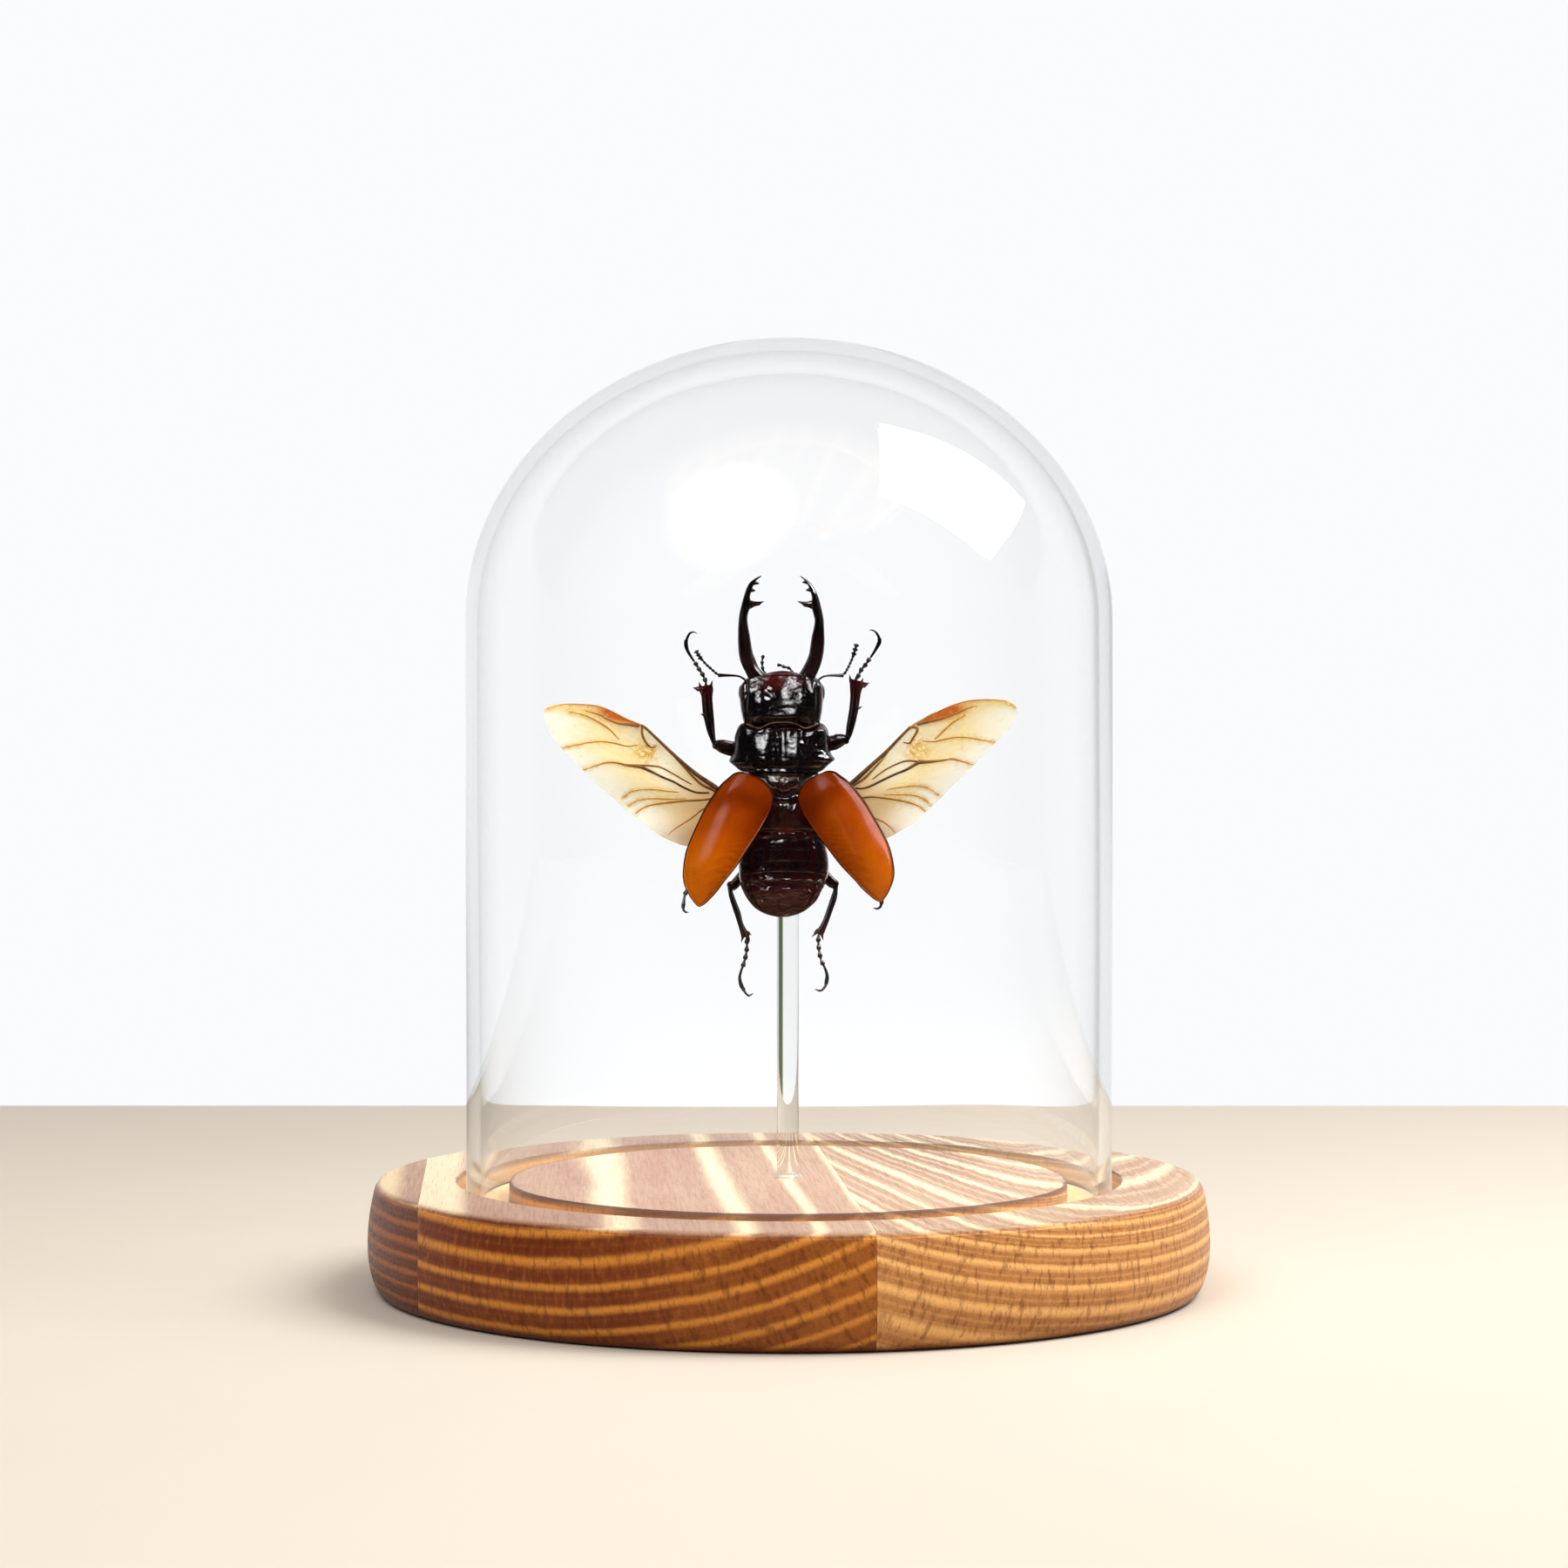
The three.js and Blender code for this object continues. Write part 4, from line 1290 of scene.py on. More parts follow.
        red = 0.9 * bump(near, 0, 1.6) * bump(z, -8.5, 0.8) * on_back + 0.2 * on_back
        Skin.lofted(rings, brown=brown, red=red).piece("metathorax_shell", self.shell, ("metathorax",))
        lobes = [Skin.egg((0.35 + side.value * 1.5, -3.1, -3.9), (0.8, 0.5, 1.0), 18, 24, 2.2, 30 * side.value,
                          red=0.1) for side in Side]
        Skin.joined(lobes).piece("metathorax_lobes", self.shell)

    def abdomen(self) -> None:
        """Overlapping back plates inside a raised brown side rim, glossy and maroon towards the tip."""
        outline = BodyOutline(
            left=trace(-0.7, -21.8, -2.0, -21.5, -3.2, -21.0, -4.3, -20.2, -5.2, -19.1, -5.9, -17.9, -6.4, -16.3,
                       -6.5, -14.5, -6.5, -13.4, -6.3, -11.8, -5.8, -9.6),
            right=trace(0.9, -21.8, 1.9, -21.55, 3.1, -21.1, 4.3, -20.3, 5.3, -19.3, 6.0, -18.0, 6.7, -16.6,
                        7.1, -15.0, 7.15, -13.6, 7.0, -12.3, 6.4, -9.6),
            back=trace(-21.8, 0.55, -21.2, 1.3, -20, 2.1, -18, 2.75, -15, 3.1, -12, 3.1, -10.4, 3.02, -9.6, 2.8),
            belly=trace(-21.8, 0.5, -20.5, 1.9, -18, 3.0, -14, 3.4, -9.9, 3.1),
            power=2.5,
        )
        rings = outline.rings(190, 150)
        x, y, z = sides(rings)
        middle = (x.max(axis=1) + x.min(axis=1))[:, None] / 2
        half = (x.max(axis=1) - x.min(axis=1))[:, None] / 2
        across = (x - middle) / half
        on_back = ramp(-y, 0.35, 1.3)
        edges = ((-11.3, 0.05), (-13.1, 0.06), (-14.75, 0.09), (-16.25, 0.3), (-17.8, 0.18), (-19.6, 0.16))
        bow = z + 0.55 * across**2 + 0.07 * ripple(rings, 3.2, 2)
        height = sum(step * (ramp(bow, e - 0.06, e + 0.06) - ramp(bow, e, e + 1.5) + 0.35 * bump(bow, e + 0.35, 0.12))
                     for e, step in edges)
        rim = ramp(np.abs(across), 0.83, 0.9) * on_back
        trough = bump(np.abs(across), 0.8, 0.05)
        height += 0.24 * rim - 0.3 * trough
        height += (0.09 * ripple(rings, 1.3, 6) + 0.06 * ripple(rings, 0.6, 9)) * (0.3 + 0.7 * ramp(-z, 14.5, 16.5))
        height += 0.14 * bump(across, 0, 0.08) * ramp(z, -17, -12)
        height -= 0.25 * bump(np.abs(across), 0.45, 0.12) * bump(z, -12.5, 2)
        y -= height * on_back
        low = ramp(-z, 14.0, 18.5)
        tip = ramp(-z, 16.0, 20.5)
        brown = np.clip(0.55 * rim * (0.4 + 0.6 * ramp(-z, 12, 17)) + 0.28 * tip, 0, 1)
        red = (0.12 + 0.6 * low) * on_back
        Skin.lofted(rings, brown=brown, red=red).piece("abdomen_shell", self.shell, ("abdomen",))
        random = np.random.default_rng(31)
        share = random.uniform(0, 1, 420)
        turn = math.pi * (1.06 + 0.88 * share)
        roots = np.stack([0.32 + 6.55 * np.cos(turn), random.uniform(-0.9, 0.5, 420),
                          -13.6 + 8.15 * np.sin(turn)], axis=1)
        out = np.stack([np.cos(turn), random.normal(-0.2, 0.3, 420), np.sin(turn)], axis=1)
        Skin.hairs(roots - out * 0.15, roots + out * random.uniform(0.05, 0.3, 420)[:, None], 0.018).piece(
            "abdomen_bristles", self.bristles)

    def build(self) -> None:
        """Builds the segments from front to rear."""
        self.pronotum()
        self.middle()
        self.hind()
        self.abdomen()


@dataclass
class BeetleHead:
    """The head with its eyes, toothed mandibles, palps and elbowed antennae."""

    shell: Material
    jaw: Material
    dull: Material
    bristles: Material

    def capsule(self) -> None:
        """The head: a broad flat box, raised in two wrinkled lobes with a hollow brow between them."""
        outline = BodyOutline(
            left=trace(-4.9, 7.0, -5.35, 7.4, -5.8, 8.0, -6.1, 9.1, -6.3, 10.4, -6.4, 11.7, -6.35, 13.1, -5.9, 14.0,
                       -5.25, 14.7, -4.2, 15.05, -2.5, 15.4, -1.3, 15.65, -0.3, 15.75),
            right=trace(5.0, 7.0, 5.45, 7.4, 5.85, 8.0, 6.1, 9.3, 6.25, 10.6, 6.35, 12.0, 6.25, 13.4, 5.85, 14.2,
                        5.3, 14.7, 4.2, 15.05, 2.6, 15.4, 1.6, 15.62, 0.6, 15.75),
            back=trace(7.0, 2.3, 8.0, 3.2, 8.8, 3.6, 9.8, 3.5, 11, 3.05, 13, 2.3, 14.4, 1.75, 15.2, 1.35,
                       15.75, 0.9),
            belly=trace(7.0, 2.4, 9, 3.0, 12, 2.9, 14.5, 2.2, 15.75, 1.0),
            power=2.7,
        )
        rings = outline.rings(130, 160)
        x, y, z = sides(rings)
        on_back = ramp(-y, 0.3, 1.5)
        height = 0.8 * bump(x, -3.5, 1.6) * bump(z, 11.4, 2.3) + 0.8 * bump(x, 3.2, 1.6) * bump(z, 11.6, 2.3)
        height += 0.25 * bump(z, 8.8, 0.8) * bump(x, 0, 4.2)
        height -= 0.4 * bump(x, -0.2, 1.8) * bump(z, 12.8, 1.9)
        height -= 0.16 * bump(z, 9.9, 0.4) * bump(x, -0.3, 2.6)
        height += 0.1 * bump(z - 0.25 * x, 10.5, 0.25) * bump(x, -0.8, 1.3)
        height += 0.25 * bump(np.abs(x), 4.9, 0.35) * bump(z, 13.4, 1.3)
        height -= 0.3 * bump(np.abs(x), 5.35, 0.22) * bump(z, 12.2, 2.0)
        height += 0.08 * ripple(rings, 2.0, 14) * bump(z, 11.8, 3) + 0.02 * ripple(rings, 0.9, 15)
        height += 0.18 * bump(z + 0.03 * x * x, 15.25, 0.2)
        height += 0.15 * np.clip(z - 9.0, 0, 6) * ramp(x, 3.4, 5.2) * (1 - ramp(z, 14.0, 15.3))
        y -= height * on_back
        red = np.clip(1.1 * bump(x, -0.3, 2.9) * ramp(z, 12.0, 14.2), 0, 1) * on_back
        brown = 0.4 * ramp(np.abs(x), 5.5, 5.9) * bump(z, 12.0, 1.9)
        Skin.lofted(rings, red=red, brown=brown).piece("head_capsule", self.shell, ("head",))
        eyes = [Skin.egg((side.value * 5.85, 0.1, 12.3), (0.72, 1.15, 1.45), 26, 32, 2.1, side.value * 3,
                         brown=0.35) for side in Side]
        Skin.joined(eyes).piece("eyes", self.dull)
        self.collar()

    def collar(self) -> None:
        """The golden fringe where the head slides under the neck shield, low at both sides of the middle."""
        random = np.random.default_rng(7)
        xs = np.concatenate([np.linspace(-5.4, 5.5, 60), random.uniform(-5.4, 5.5, 420)])
        z = 7.92 - 0.9 * bump(np.abs(xs - 0.1), 3.6, 1.4) - 0.1 * ramp(np.abs(xs), 4.4, 5.4)
        y = -3.42 + 1.6 * (np.abs(xs) / 5.6) ** 3
        roots = np.stack([xs, y + random.uniform(-0.04, 0.08, xs.size), z - 0.05], axis=1)
        tips = combed(random, roots, 0.07, (-0.1, 0.1), (0.12, 0.34))
        line = list(zip(xs[:60], y[:60] - 0.02, z[:60]))
        band = Skin.tube(line[::3], [0.03, 0.045, 0.04, 0.045, 0.03], 80, 8)
        Skin.joined([Skin.hairs(roots, tips, 0.025), band]).piece("neck_fringe", self.bristles)

    def mandibles(self) -> None:
        """Two jaws bowed outwards, each with one large forked tooth and two small ones near the tip."""
        # The outer edge, the inner edge and the lines of the four teeth of each jaw.
        jaws = {
            Side.LEFT: (
                trace(-5.15, 14.7, -5.6, 15.6, -6.14, 16.7, -6.47, 17.8, -6.63, 19.1, -6.68, 20.4, -6.65, 22.4,
                      -6.54, 24.0, -6.27, 25.4, -5.94, 26.7, -5.47, 28.2, -4.94, 29.2, -4.14, 29.85, -3.14, 30.35),
                trace(-2.3, 14.9, -2.9, 15.6, -3.5, 16.3, -3.95, 17.4, -4.4, 18.6, -4.62, 19.8, -4.82, 21.1,
                      -5.06, 22.4, -5.2, 23.6, -5.07, 24.6, -4.75, 25.5, -4.72, 26.4, -4.8, 27.1, -4.6, 27.9,
                      -4.3, 28.8, -3.85, 29.55, -3.1, 30.2),
                [[(-4.9, 0, 25.9), (-4.0, -0.1, 26.0), (-3.3, -0.15, 26.15), (-2.75, -0.2, 26.35)],
                 [(-4.2, 0.2, 25.9), (-3.5, 0.25, 25.85), (-3.2, 0.3, 26.0)],
                 [(-4.7, 0, 28.1), (-4.25, -0.05, 28.05), (-3.98, -0.05, 28.0)],
                 [(-4.2, 0, 29.2), (-3.75, 0, 29.15), (-3.42, 0, 29.05)]],
            ),
            Side.RIGHT: (
                trace(5.15, 14.8, 5.54, 15.6, 5.94, 16.6, 6.27, 17.8, 6.47, 19.1, 6.54, 20.4, 6.47, 22.2,
                      6.41, 23.5, 6.21, 24.7, 5.94, 25.8, 5.61, 27.0, 5.14, 28.1, 4.54, 29.0, 3.74, 29.75,
                      2.8, 30.3),
                trace(2.3, 15.0, 2.7, 15.5, 3.25, 16.4, 3.75, 17.4, 4.12, 18.4, 4.34, 19.8, 4.55, 21.1, 4.85, 22.4,
                      4.98, 23.5, 4.75, 24.5, 4.5, 25.5, 4.5, 26.4, 4.54, 27.1, 4.3, 27.9, 3.95, 28.8, 3.4, 29.6,
                      2.8, 30.15),
                [[(4.65, 0, 25.85), (3.75, -0.1, 25.95), (3.0, -0.15, 26.15), (2.4, -0.2, 26.35)],
                 [(4.1, 0.2, 25.75), (3.5, 0.25, 25.7), (3.1, 0.3, 25.95)],
                 [(4.4, 0, 28.15), (3.95, -0.05, 28.1), (3.65, -0.05, 28.0)],
                 [(3.9, 0, 29.3), (3.45, 0, 29.3), (3.1, 0, 29.25)]],
            ),
        }
        tooth_radii = [[0.75, 0.42, 0.24, 0.05], [0.35, 0.2, 0.05], [0.4, 0.25, 0.05], [0.38, 0.24, 0.05]]
        for side, (outer, inner, teeth) in jaws.items():
            beam = Skin.blade(outer, inner, [1.5, 1.35, 1.2, 1.0, 0.95, 0.85, 0.6, 0.12],
                              [0.2, 0.1, 0, -0.1, -0.2, -0.1, 0, 0], 130, 40, 2.15, 0.22)
            beam.values["red"] = 0.02 + 0.12 * bump(beam.points[:, 2], 17.5, 3.5)
            spikes = [Skin.tube(path, radii, 20, 14, 0.9, red=0.2) for path, radii in zip(teeth, tooth_radii)]
            Skin.joined([beam, *spikes]).piece(f"jaw_{side.word}", self.jaw, (f"mandible_{side.word}",),
                                               "dark_red_cuticle")

    def feelers(self) -> None:
        """Palps of beaded joints, and antennae with a long first joint, a beaded whip and a small club."""
        palps = {
            Side.LEFT: [(-2.3, 1.6, 15.0), (-2.85, 1.6, 15.9), (-3.0, 1.5, 17.0), (-2.85, 1.4, 18.15)],
            Side.RIGHT: [(1.7, 1.6, 15.2), (1.2, 1.6, 16.1), (0.4, 1.5, 16.35), (-0.15, 1.4, 16.6),
                         (-0.7, 1.4, 16.65)],
        }
        antennae = {
            Side.LEFT: (
                [(-5.6, 0.6, 14.4), (-6.1, 0.6, 14.75), (-6.6, 0.5, 14.95), (-7.6, 0.4, 15.05), (-9.65, 0.3, 15.1)],
                [(-9.75, 0.3, 15.2), (-10.4, 0.2, 15.8), (-11.3, 0.1, 16.6), (-12.2, 0, 17.6)],
                [(-12.2, 0, 17.5), (-12.55, -0.1, 18.1), (-13.0, -0.2, 18.85)]),
            Side.RIGHT: (
                [(5.6, 0.6, 14.4), (6.1, 0.6, 14.75), (6.6, 0.5, 14.95), (7.5, 0.4, 15.05), (9.4, 0.3, 15.05)],
                [(9.5, 0.3, 15.2), (10.0, 0.2, 16.0), (10.5, 0.1, 17.0), (10.95, 0, 18.1)],
                [(10.9, 0, 18.0), (11.15, -0.1, 18.8), (11.45, -0.2, 19.85)]),
        }
        for side in Side:
            joints = Skin.beads(palps[side], 4, 0.24, 0.6)
            joints.piece(f"palp_joints_{side.word}", self.shell, (f"palp_{side.word}",))
            scape, whip, club = antennae[side]
            parts = [Skin.tube(scape, [0.18, 0.15, 0.17, 0.2, 0.25, 0.32], 40, 14, red=0.1),
                     Skin.beads(whip, 6, 0.21, 0.6), Skin.beads(club, 3, 0.38, 0.45)]
            Skin.joined(parts).piece(f"antenna_joints_{side.word}", self.shell, (f"antenna_{side.word}",))

    def build(self) -> None:
        """Builds the head and what it carries."""
        self.capsule()
        self.mandibles()
        self.feelers()


# ---- beetle: wing cases and wings


@dataclass
class WingCases:
    """Two glossy wing cases, opened outwards from their hinges and bulging towards the back."""

    shell: Material
    thickness: float = 0.42
    bulge: float = 2.5
    rise: float = 0.2
    lift: float = 5.0
    rows: int = 150
    columns: int = 96

    # The edges away from the body and next to it, from the hinge to the tip, in (x, z).
    OUTER = trace(0.0, 0.7, 1.1, 0.62, 2.2, 0.5, 3.1, -0.1, 3.65, -1.1, 4.2, -2.2, 4.55, -3.4, 4.8, -4.6, 5.1, -6.5,
                  5.2, -9.0, 5.25, -11.0, 5.2, -13.3, 4.9, -15.0, 4.45, -16.5, 3.9, -17.8, 3.1, -18.9, 1.8, -20.0,
                  0.8, -20.6, 0.0, -20.9)
    INNER = trace(0.0, 0.7, -1.2, 0.6, -2.2, 0.3, -3.1, -0.3, -3.8, -1.2, -4.1, -2.6, -4.1, -4.0, -3.8, -7.0,
                  -3.3, -10.0, -2.9, -12.5, -2.5, -14.2, -2.0, -16.0, -1.6, -17.7, -1.1, -19.1, -0.6, -20.2,
                  0.0, -20.9)

    def shell_skin(self, side: Side) -> Skin:
        """One case in its hinge's frame.

        Rows run from the inner to the outer edge at equal shares of both edges. The outer face stands
        out as a parabola across, lower towards the tip, with a narrow rolled bead along the edges.

        Args:
            side: which case.
        Returns:
            The skin, with values along, seam, rim and under.
        """
        a, b = (smooth_path(edge, self.rows + 2)[1:-1] for edge in (self.INNER, self.OUTER))
        half = self.columns // 2
        share = 0.5 - 0.5 * np.cos(np.linspace(0, math.pi, half))
        across = np.concatenate([share, share[::-1]])[None]
        under = np.concatenate([np.zeros(half), np.ones(half)])[None] + 0 * a[:, :1]
        flat = a[:, None] + (b - a)[:, None] * across[..., None]
        x, z = flat[..., 0], flat[..., 1]
        out = np.clip(1 - ((x - 0.8) / 5.0) ** 2, -0.2, 1)
        along = np.clip((z + 20.9) / 9.0, 0, 1)
        arch = self.bulge * out * (0.3 + 0.7 * np.sin(along * math.pi / 2)) - self.rise * z
        shoulder = 0.35 * bump(x, 3.0, 1.1) * bump(z, -3.0, 1.8) + 0.35 * bump(z, -2.0, 1.5) * bump(x, -0.5, 3.5)
        width = np.linalg.norm(b - a, axis=1)[:, None]
        edge = np.minimum(across, 1 - across) * width
        ends = np.minimum(np.arange(self.rows), np.arange(self.rows)[::-1])[:, None] * 0.16
        edge = np.minimum(edge, ends + 0.02)
        bead = 0.16 * bump(edge, 0.12, 0.13) - 0.1 * bump(edge, 0.42, 0.16)
        skin_y = self.thickness * under * ramp(edge, -0.05, 0.3) - (arch + shoulder * (1 - under * 0.6))
        skin_y -= bead * (1 - under)
        skin_y += 0.02 * ripple(np.stack([x, 0 * x, z], axis=-1), 4.0, 17)
        skin_y += 0.05 * np.sin(6.5 * z + 3 * x + 2 * np.sin(2.1 * x + z)) * bump(x, -1.9, 1.2) * bump(z, -12, 4.5)
        skin_y += 0.03 * np.sin(3.1 * z + 2.2 * np.sin(1.7 * x)) * bump(x, -0.5, 1.6) * bump(z, -15, 3)
        skin_y += 0.05 * bump(x - 0.7 - 0.045 * z, 0, 0.35) * bump(z, -9, 7)
        rings = np.stack([side.value * x, skin_y, z], axis=-1)
        rim = np.clip(1.0 - (edge - 0.14) / 0.16, 0, 1) * np.where(across > 0.5, 1.0, 0.75)
        seam = (1 - across) * ramp(-z, -1, 3)
        return Skin.lofted(rings, along=np.clip(-z / 20.9, 0, 1), seam=seam, rim=rim, under=under)

    def build(self) -> None:
        """Builds both cases and turns them about their hinges."""
        hinges = {Side.LEFT: ((-4.2, -4.6, -1.0), 22.8), Side.RIGHT: ((5.2, -4.6, -1.0), 27.4)}
        for side, (hinge, opening) in hinges.items():
            turn = Matrix.Rotation(math.radians(-self.lift), 4, "X") @ Matrix.Rotation(
                math.radians(-side.value * opening), 4, "Y")
            skin = self.shell_skin(side).moved(Matrix.Translation(hinge) @ turn)
            skin.piece(f"wing_case_{side.word}", self.shell, (f"elytron_{side.word}",), "orange_brown_cuticle")


@dataclass
class HindWings:
    """Two spread hind wings: a thin pleated film on raised veins, folded a little at the front bar."""

    film: Material
    vein: Material
    thickness: float = 0.09
    plane: float = -2.6
    curl: float = 0.0022
    root: float = 7.2
    rows: int = 190
    columns: int = 120

    # The front and the rear edge of each film in (|x|, z).
    EDGES = {
        Side.LEFT: (
            trace(7.2, -4.0, 8.6, -2.8, 10.0, -1.7, 11.9, -0.7, 12.9, 0.3, 14.3, 1.5, 15.6, 2.5, 17.0, 4.0,
                  18.3, 5.1, 19.6, 6.4, 20.4, 7.1, 21.2, 7.6, 22.3, 8.0, 23.6, 8.6, 25.0, 9.3, 26.3, 9.95,
                  27.6, 10.45, 29.0, 10.65, 31.0, 10.75, 33.0, 10.75, 34.6, 10.5, 35.7, 10.0, 35.95, 9.5),
            trace(7.2, -9.4, 11.0, -10.6, 14.3, -10.9, 16.3, -10.3, 18.0, -9.5, 19.6, -8.5, 21.0, -7.3, 22.2, -6.4,
                  23.4, -5.6, 24.4, -4.7, 25.6, -3.6, 27.0, -2.4, 28.3, -1.2, 29.5, 0.1, 30.7, 1.3, 32.0, 2.5,
                  33.2, 3.9, 34.2, 5.1, 35.0, 6.4, 35.6, 7.9, 35.95, 9.1)),
        Side.RIGHT: (
            trace(7.2, -4.0, 8.8, -2.6, 10.4, -1.3, 11.7, -0.1, 13.1, 1.1, 14.4, 2.3, 15.8, 3.6, 17.1, 4.8,
                  18.4, 6.3, 19.4, 7.3, 20.4, 8.0, 21.2, 8.35, 22.4, 9.1, 23.8, 9.7, 25.1, 10.3, 26.4, 10.8,
                  27.8, 11.2, 29.1, 11.4, 31.1, 11.5, 33.1, 11.4, 34.4, 11.1, 35.3, 10.4, 35.5, 9.8),
            trace(7.2, -9.4, 11.0, -10.3, 14.3, -10.2, 16.4, -9.5, 18.4, -8.3, 20.2, -7.3, 21.4, -6.1, 22.4, -5.1,
                  23.8, -3.9, 25.1, -2.5, 26.4, -1.2, 27.8, 0.1, 29.1, 1.5, 30.2, 2.7, 31.5, 4.0, 32.7, 5.3,
                  33.8, 6.4, 34.8, 7.7, 35.4, 9.1, 35.55, 9.5)),
    }
    # Each kind of vein: its radii along it, and its tone at its root and its tip.
    VEIN_KINDS = [
        ([0.3, 0.26, 0.2, 0.15], 0.0, 0.15),
        ([0.2, 0.17, 0.12, 0.06], 0.0, 0.3),
        ([0.1, 0.07, 0.045, 0.02], 0.75, 1.0),
        ([0.13, 0.15, 0.12, 0.05], 0.1, 0.35),
        ([0.16, 0.13, 0.1, 0.04], 0.15, 0.7),
        ([0.06, 0.1, 0.09, 0.03], 0.8, 1.0),
        ([0.05, 0.08, 0.07, 0.06, 0.03], 0.55, 1.0),
        ([0.1, 0.13, 0.14, 0.2], 0.05, 0.1),
        ([0.26, 0.15, 0.1, 0.08, 0.04], 0.15, 0.9),
        ([0.07, 0.09, 0.1, 0.12], 0.2, 0.2),
        ([0.04, 0.06, 0.06, 0.03], 0.45, 1.0),
        ([0.04, 0.06, 0.06, 0.03], 0.45, 1.0),
        ([0.12, 0.12, 0.12, 0.09, 0.04], 0.05, 0.8),
        ([0.08, 0.09, 0.08, 0.03], 0.1, 0.45),
    ]
    # The points of each vein outwards from the body in (|x|, z), in the order of the kinds.
    VEIN_LINES = {
        Side.LEFT: [
            trace(7.2, -4.1, 10.0, -1.9, 12.9, 0.1, 15.6, 2.4, 18.3, 4.95, 20.4, 6.95, 21.2, 7.5),
            trace(7.2, -4.6, 10.0, -2.5, 11.9, -1.6, 13.4, -0.3, 14.7, 1.1, 15.9, 2.4, 17.2, 3.9),
            trace(21.2, 7.5, 23.6, 8.5, 26.3, 9.85, 29.0, 10.55, 33.0, 10.65, 35.6, 9.9),
            trace(21.1, 7.3, 21.05, 6.0, 20.4, 4.7, 19.6, 4.1, 18.9, 4.4),
            trace(21.6, 7.4, 23.0, 7.6, 24.7, 7.8, 26.3, 8.4, 27.6, 9.1, 29.8, 9.7),
            trace(24.6, 5.3, 26.0, 6.8, 27.6, 7.9, 29.6, 8.9, 32.3, 9.6),
            trace(21.9, 4.5, 23.4, 4.3, 25.0, 4.7, 27.0, 5.0, 29.0, 4.9, 31.0, 4.5, 33.0, 4.1),
            trace(10.9, -2.8, 12.9, -2.7, 14.7, -2.0, 16.3, -1.1, 18.0, -0.4, 19.6, 0.4, 21.4, 1.25),
            trace(21.0, 1.2, 22.0, 1.3, 23.6, 1.45, 25.0, 1.8, 26.7, 1.8, 28.3, 1.3, 30.0, 0.7),
            trace(13.6, -1.5, 15.0, -0.7, 16.7, 0.3, 18.3, 1.1, 19.4, 1.3, 20.9, 1.4),
            trace(15.5, -2.7, 17.5, -2.5, 19.0, -2.3, 21.0, -2.3, 22.7, -2.6, 24.0, -3.5),
            trace(14.5, -3.7, 16.3, -3.75, 18.3, -3.7, 20.3, -3.7, 21.9, -4.0, 23.1, -4.7),
            trace(9.5, -3.5, 12.0, -3.85, 14.3, -3.95, 15.9, -4.1, 17.6, -4.3, 19.6, -4.6, 21.0, -5.1, 22.2, -6.0),
            trace(9.5, -4.5, 11.9, -5.3, 12.9, -6.1, 14.3, -7.1, 15.9, -8.1, 17.1, -9.1),
        ],
        Side.RIGHT: [
            trace(7.2, -4.1, 10.4, -1.5, 13.1, 0.95, 15.8, 3.4, 18.4, 6.1, 19.5, 7.2),
            trace(7.2, -4.6, 9.4, -2.7, 10.9, -1.6, 12.4, -0.7, 13.8, 0.7, 15.1, 2.1, 16.4, 3.8),
            trace(19.5, 7.2, 21.2, 8.25, 23.8, 9.6, 26.4, 10.7, 29.1, 11.3, 33.1, 11.3, 35.3, 10.3),
            trace(19.2, 7.1, 20.3, 7.2, 20.6, 6.7, 19.9, 5.5, 19.4, 4.8, 18.4, 4.9),
            trace(20.6, 7.6, 22.0, 8.0, 24.2, 8.5, 25.8, 9.1, 27.8, 9.9, 29.5, 10.5),
            trace(23.2, 5.4, 24.0, 6.1, 25.1, 7.2, 26.2, 8.1, 27.8, 9.0),
            trace(21.4, 5.1, 23.0, 5.0, 24.4, 5.3, 25.8, 5.6, 27.1, 5.7, 28.4, 5.6, 30.4, 5.3, 32.4, 4.9),
            trace(11.1, -2.1, 12.4, -2.1, 13.8, -1.6, 15.4, -0.8, 17.1, 0.0, 18.8, 0.7, 20.2, 1.5, 21.1, 2.0),
            trace(20.8, 1.9, 22.0, 1.95, 24.2, 2.15, 25.8, 2.4, 27.1, 2.1, 29.1, 1.5),
            trace(13.8, -0.7, 15.1, 0.3, 16.4, 1.1, 18.2, 1.9, 19.4, 2.1, 20.6, 2.0),
            trace(16.0, -2.3, 18.4, -1.9, 20.2, -1.7, 21.8, -1.9, 22.8, -2.4, 23.9, -3.2),
            trace(15.5, -3.1, 17.5, -3.05, 19.4, -3.1, 20.7, -3.3, 21.8, -3.9, 22.8, -4.7),
            trace(9.5, -3.3, 12.1, -3.5, 13.8, -3.4, 15.8, -3.6, 17.8, -3.9, 19.5, -4.3, 20.8, -4.8, 21.8, -5.6),
            trace(9.5, -4.6, 12.0, -5.8, 14.2, -6.7, 15.4, -7.2, 16.4, -8.0, 17.2, -8.8),
        ],
    }

    def depth(self, x: Array, z: Array) -> Array:
        """The film's y: it curls forward with the square of its reach, and its pleats fan out from the root."""
        fan = np.arctan2(z + 6.5, x - 4.0)
        reach = ramp(x, 9, 24)
        pleats = 0.22 * np.sin(fan * 13 + 0.6) * reach
        fold = -0.5 * bump(fan - 0.86, 0, 0.1) * ramp(x, 8, 14) * (1 - ramp(x, 21, 27))
        crumple = 0.08 * bump(x, 20.4, 1.5) * bump(z, 3.6, 1.7) * np.sin(x * 4.1) * np.cos(z * 4.7)
        return self.plane - self.curl * (x - self.root) ** 2 + pleats + fold + crumple

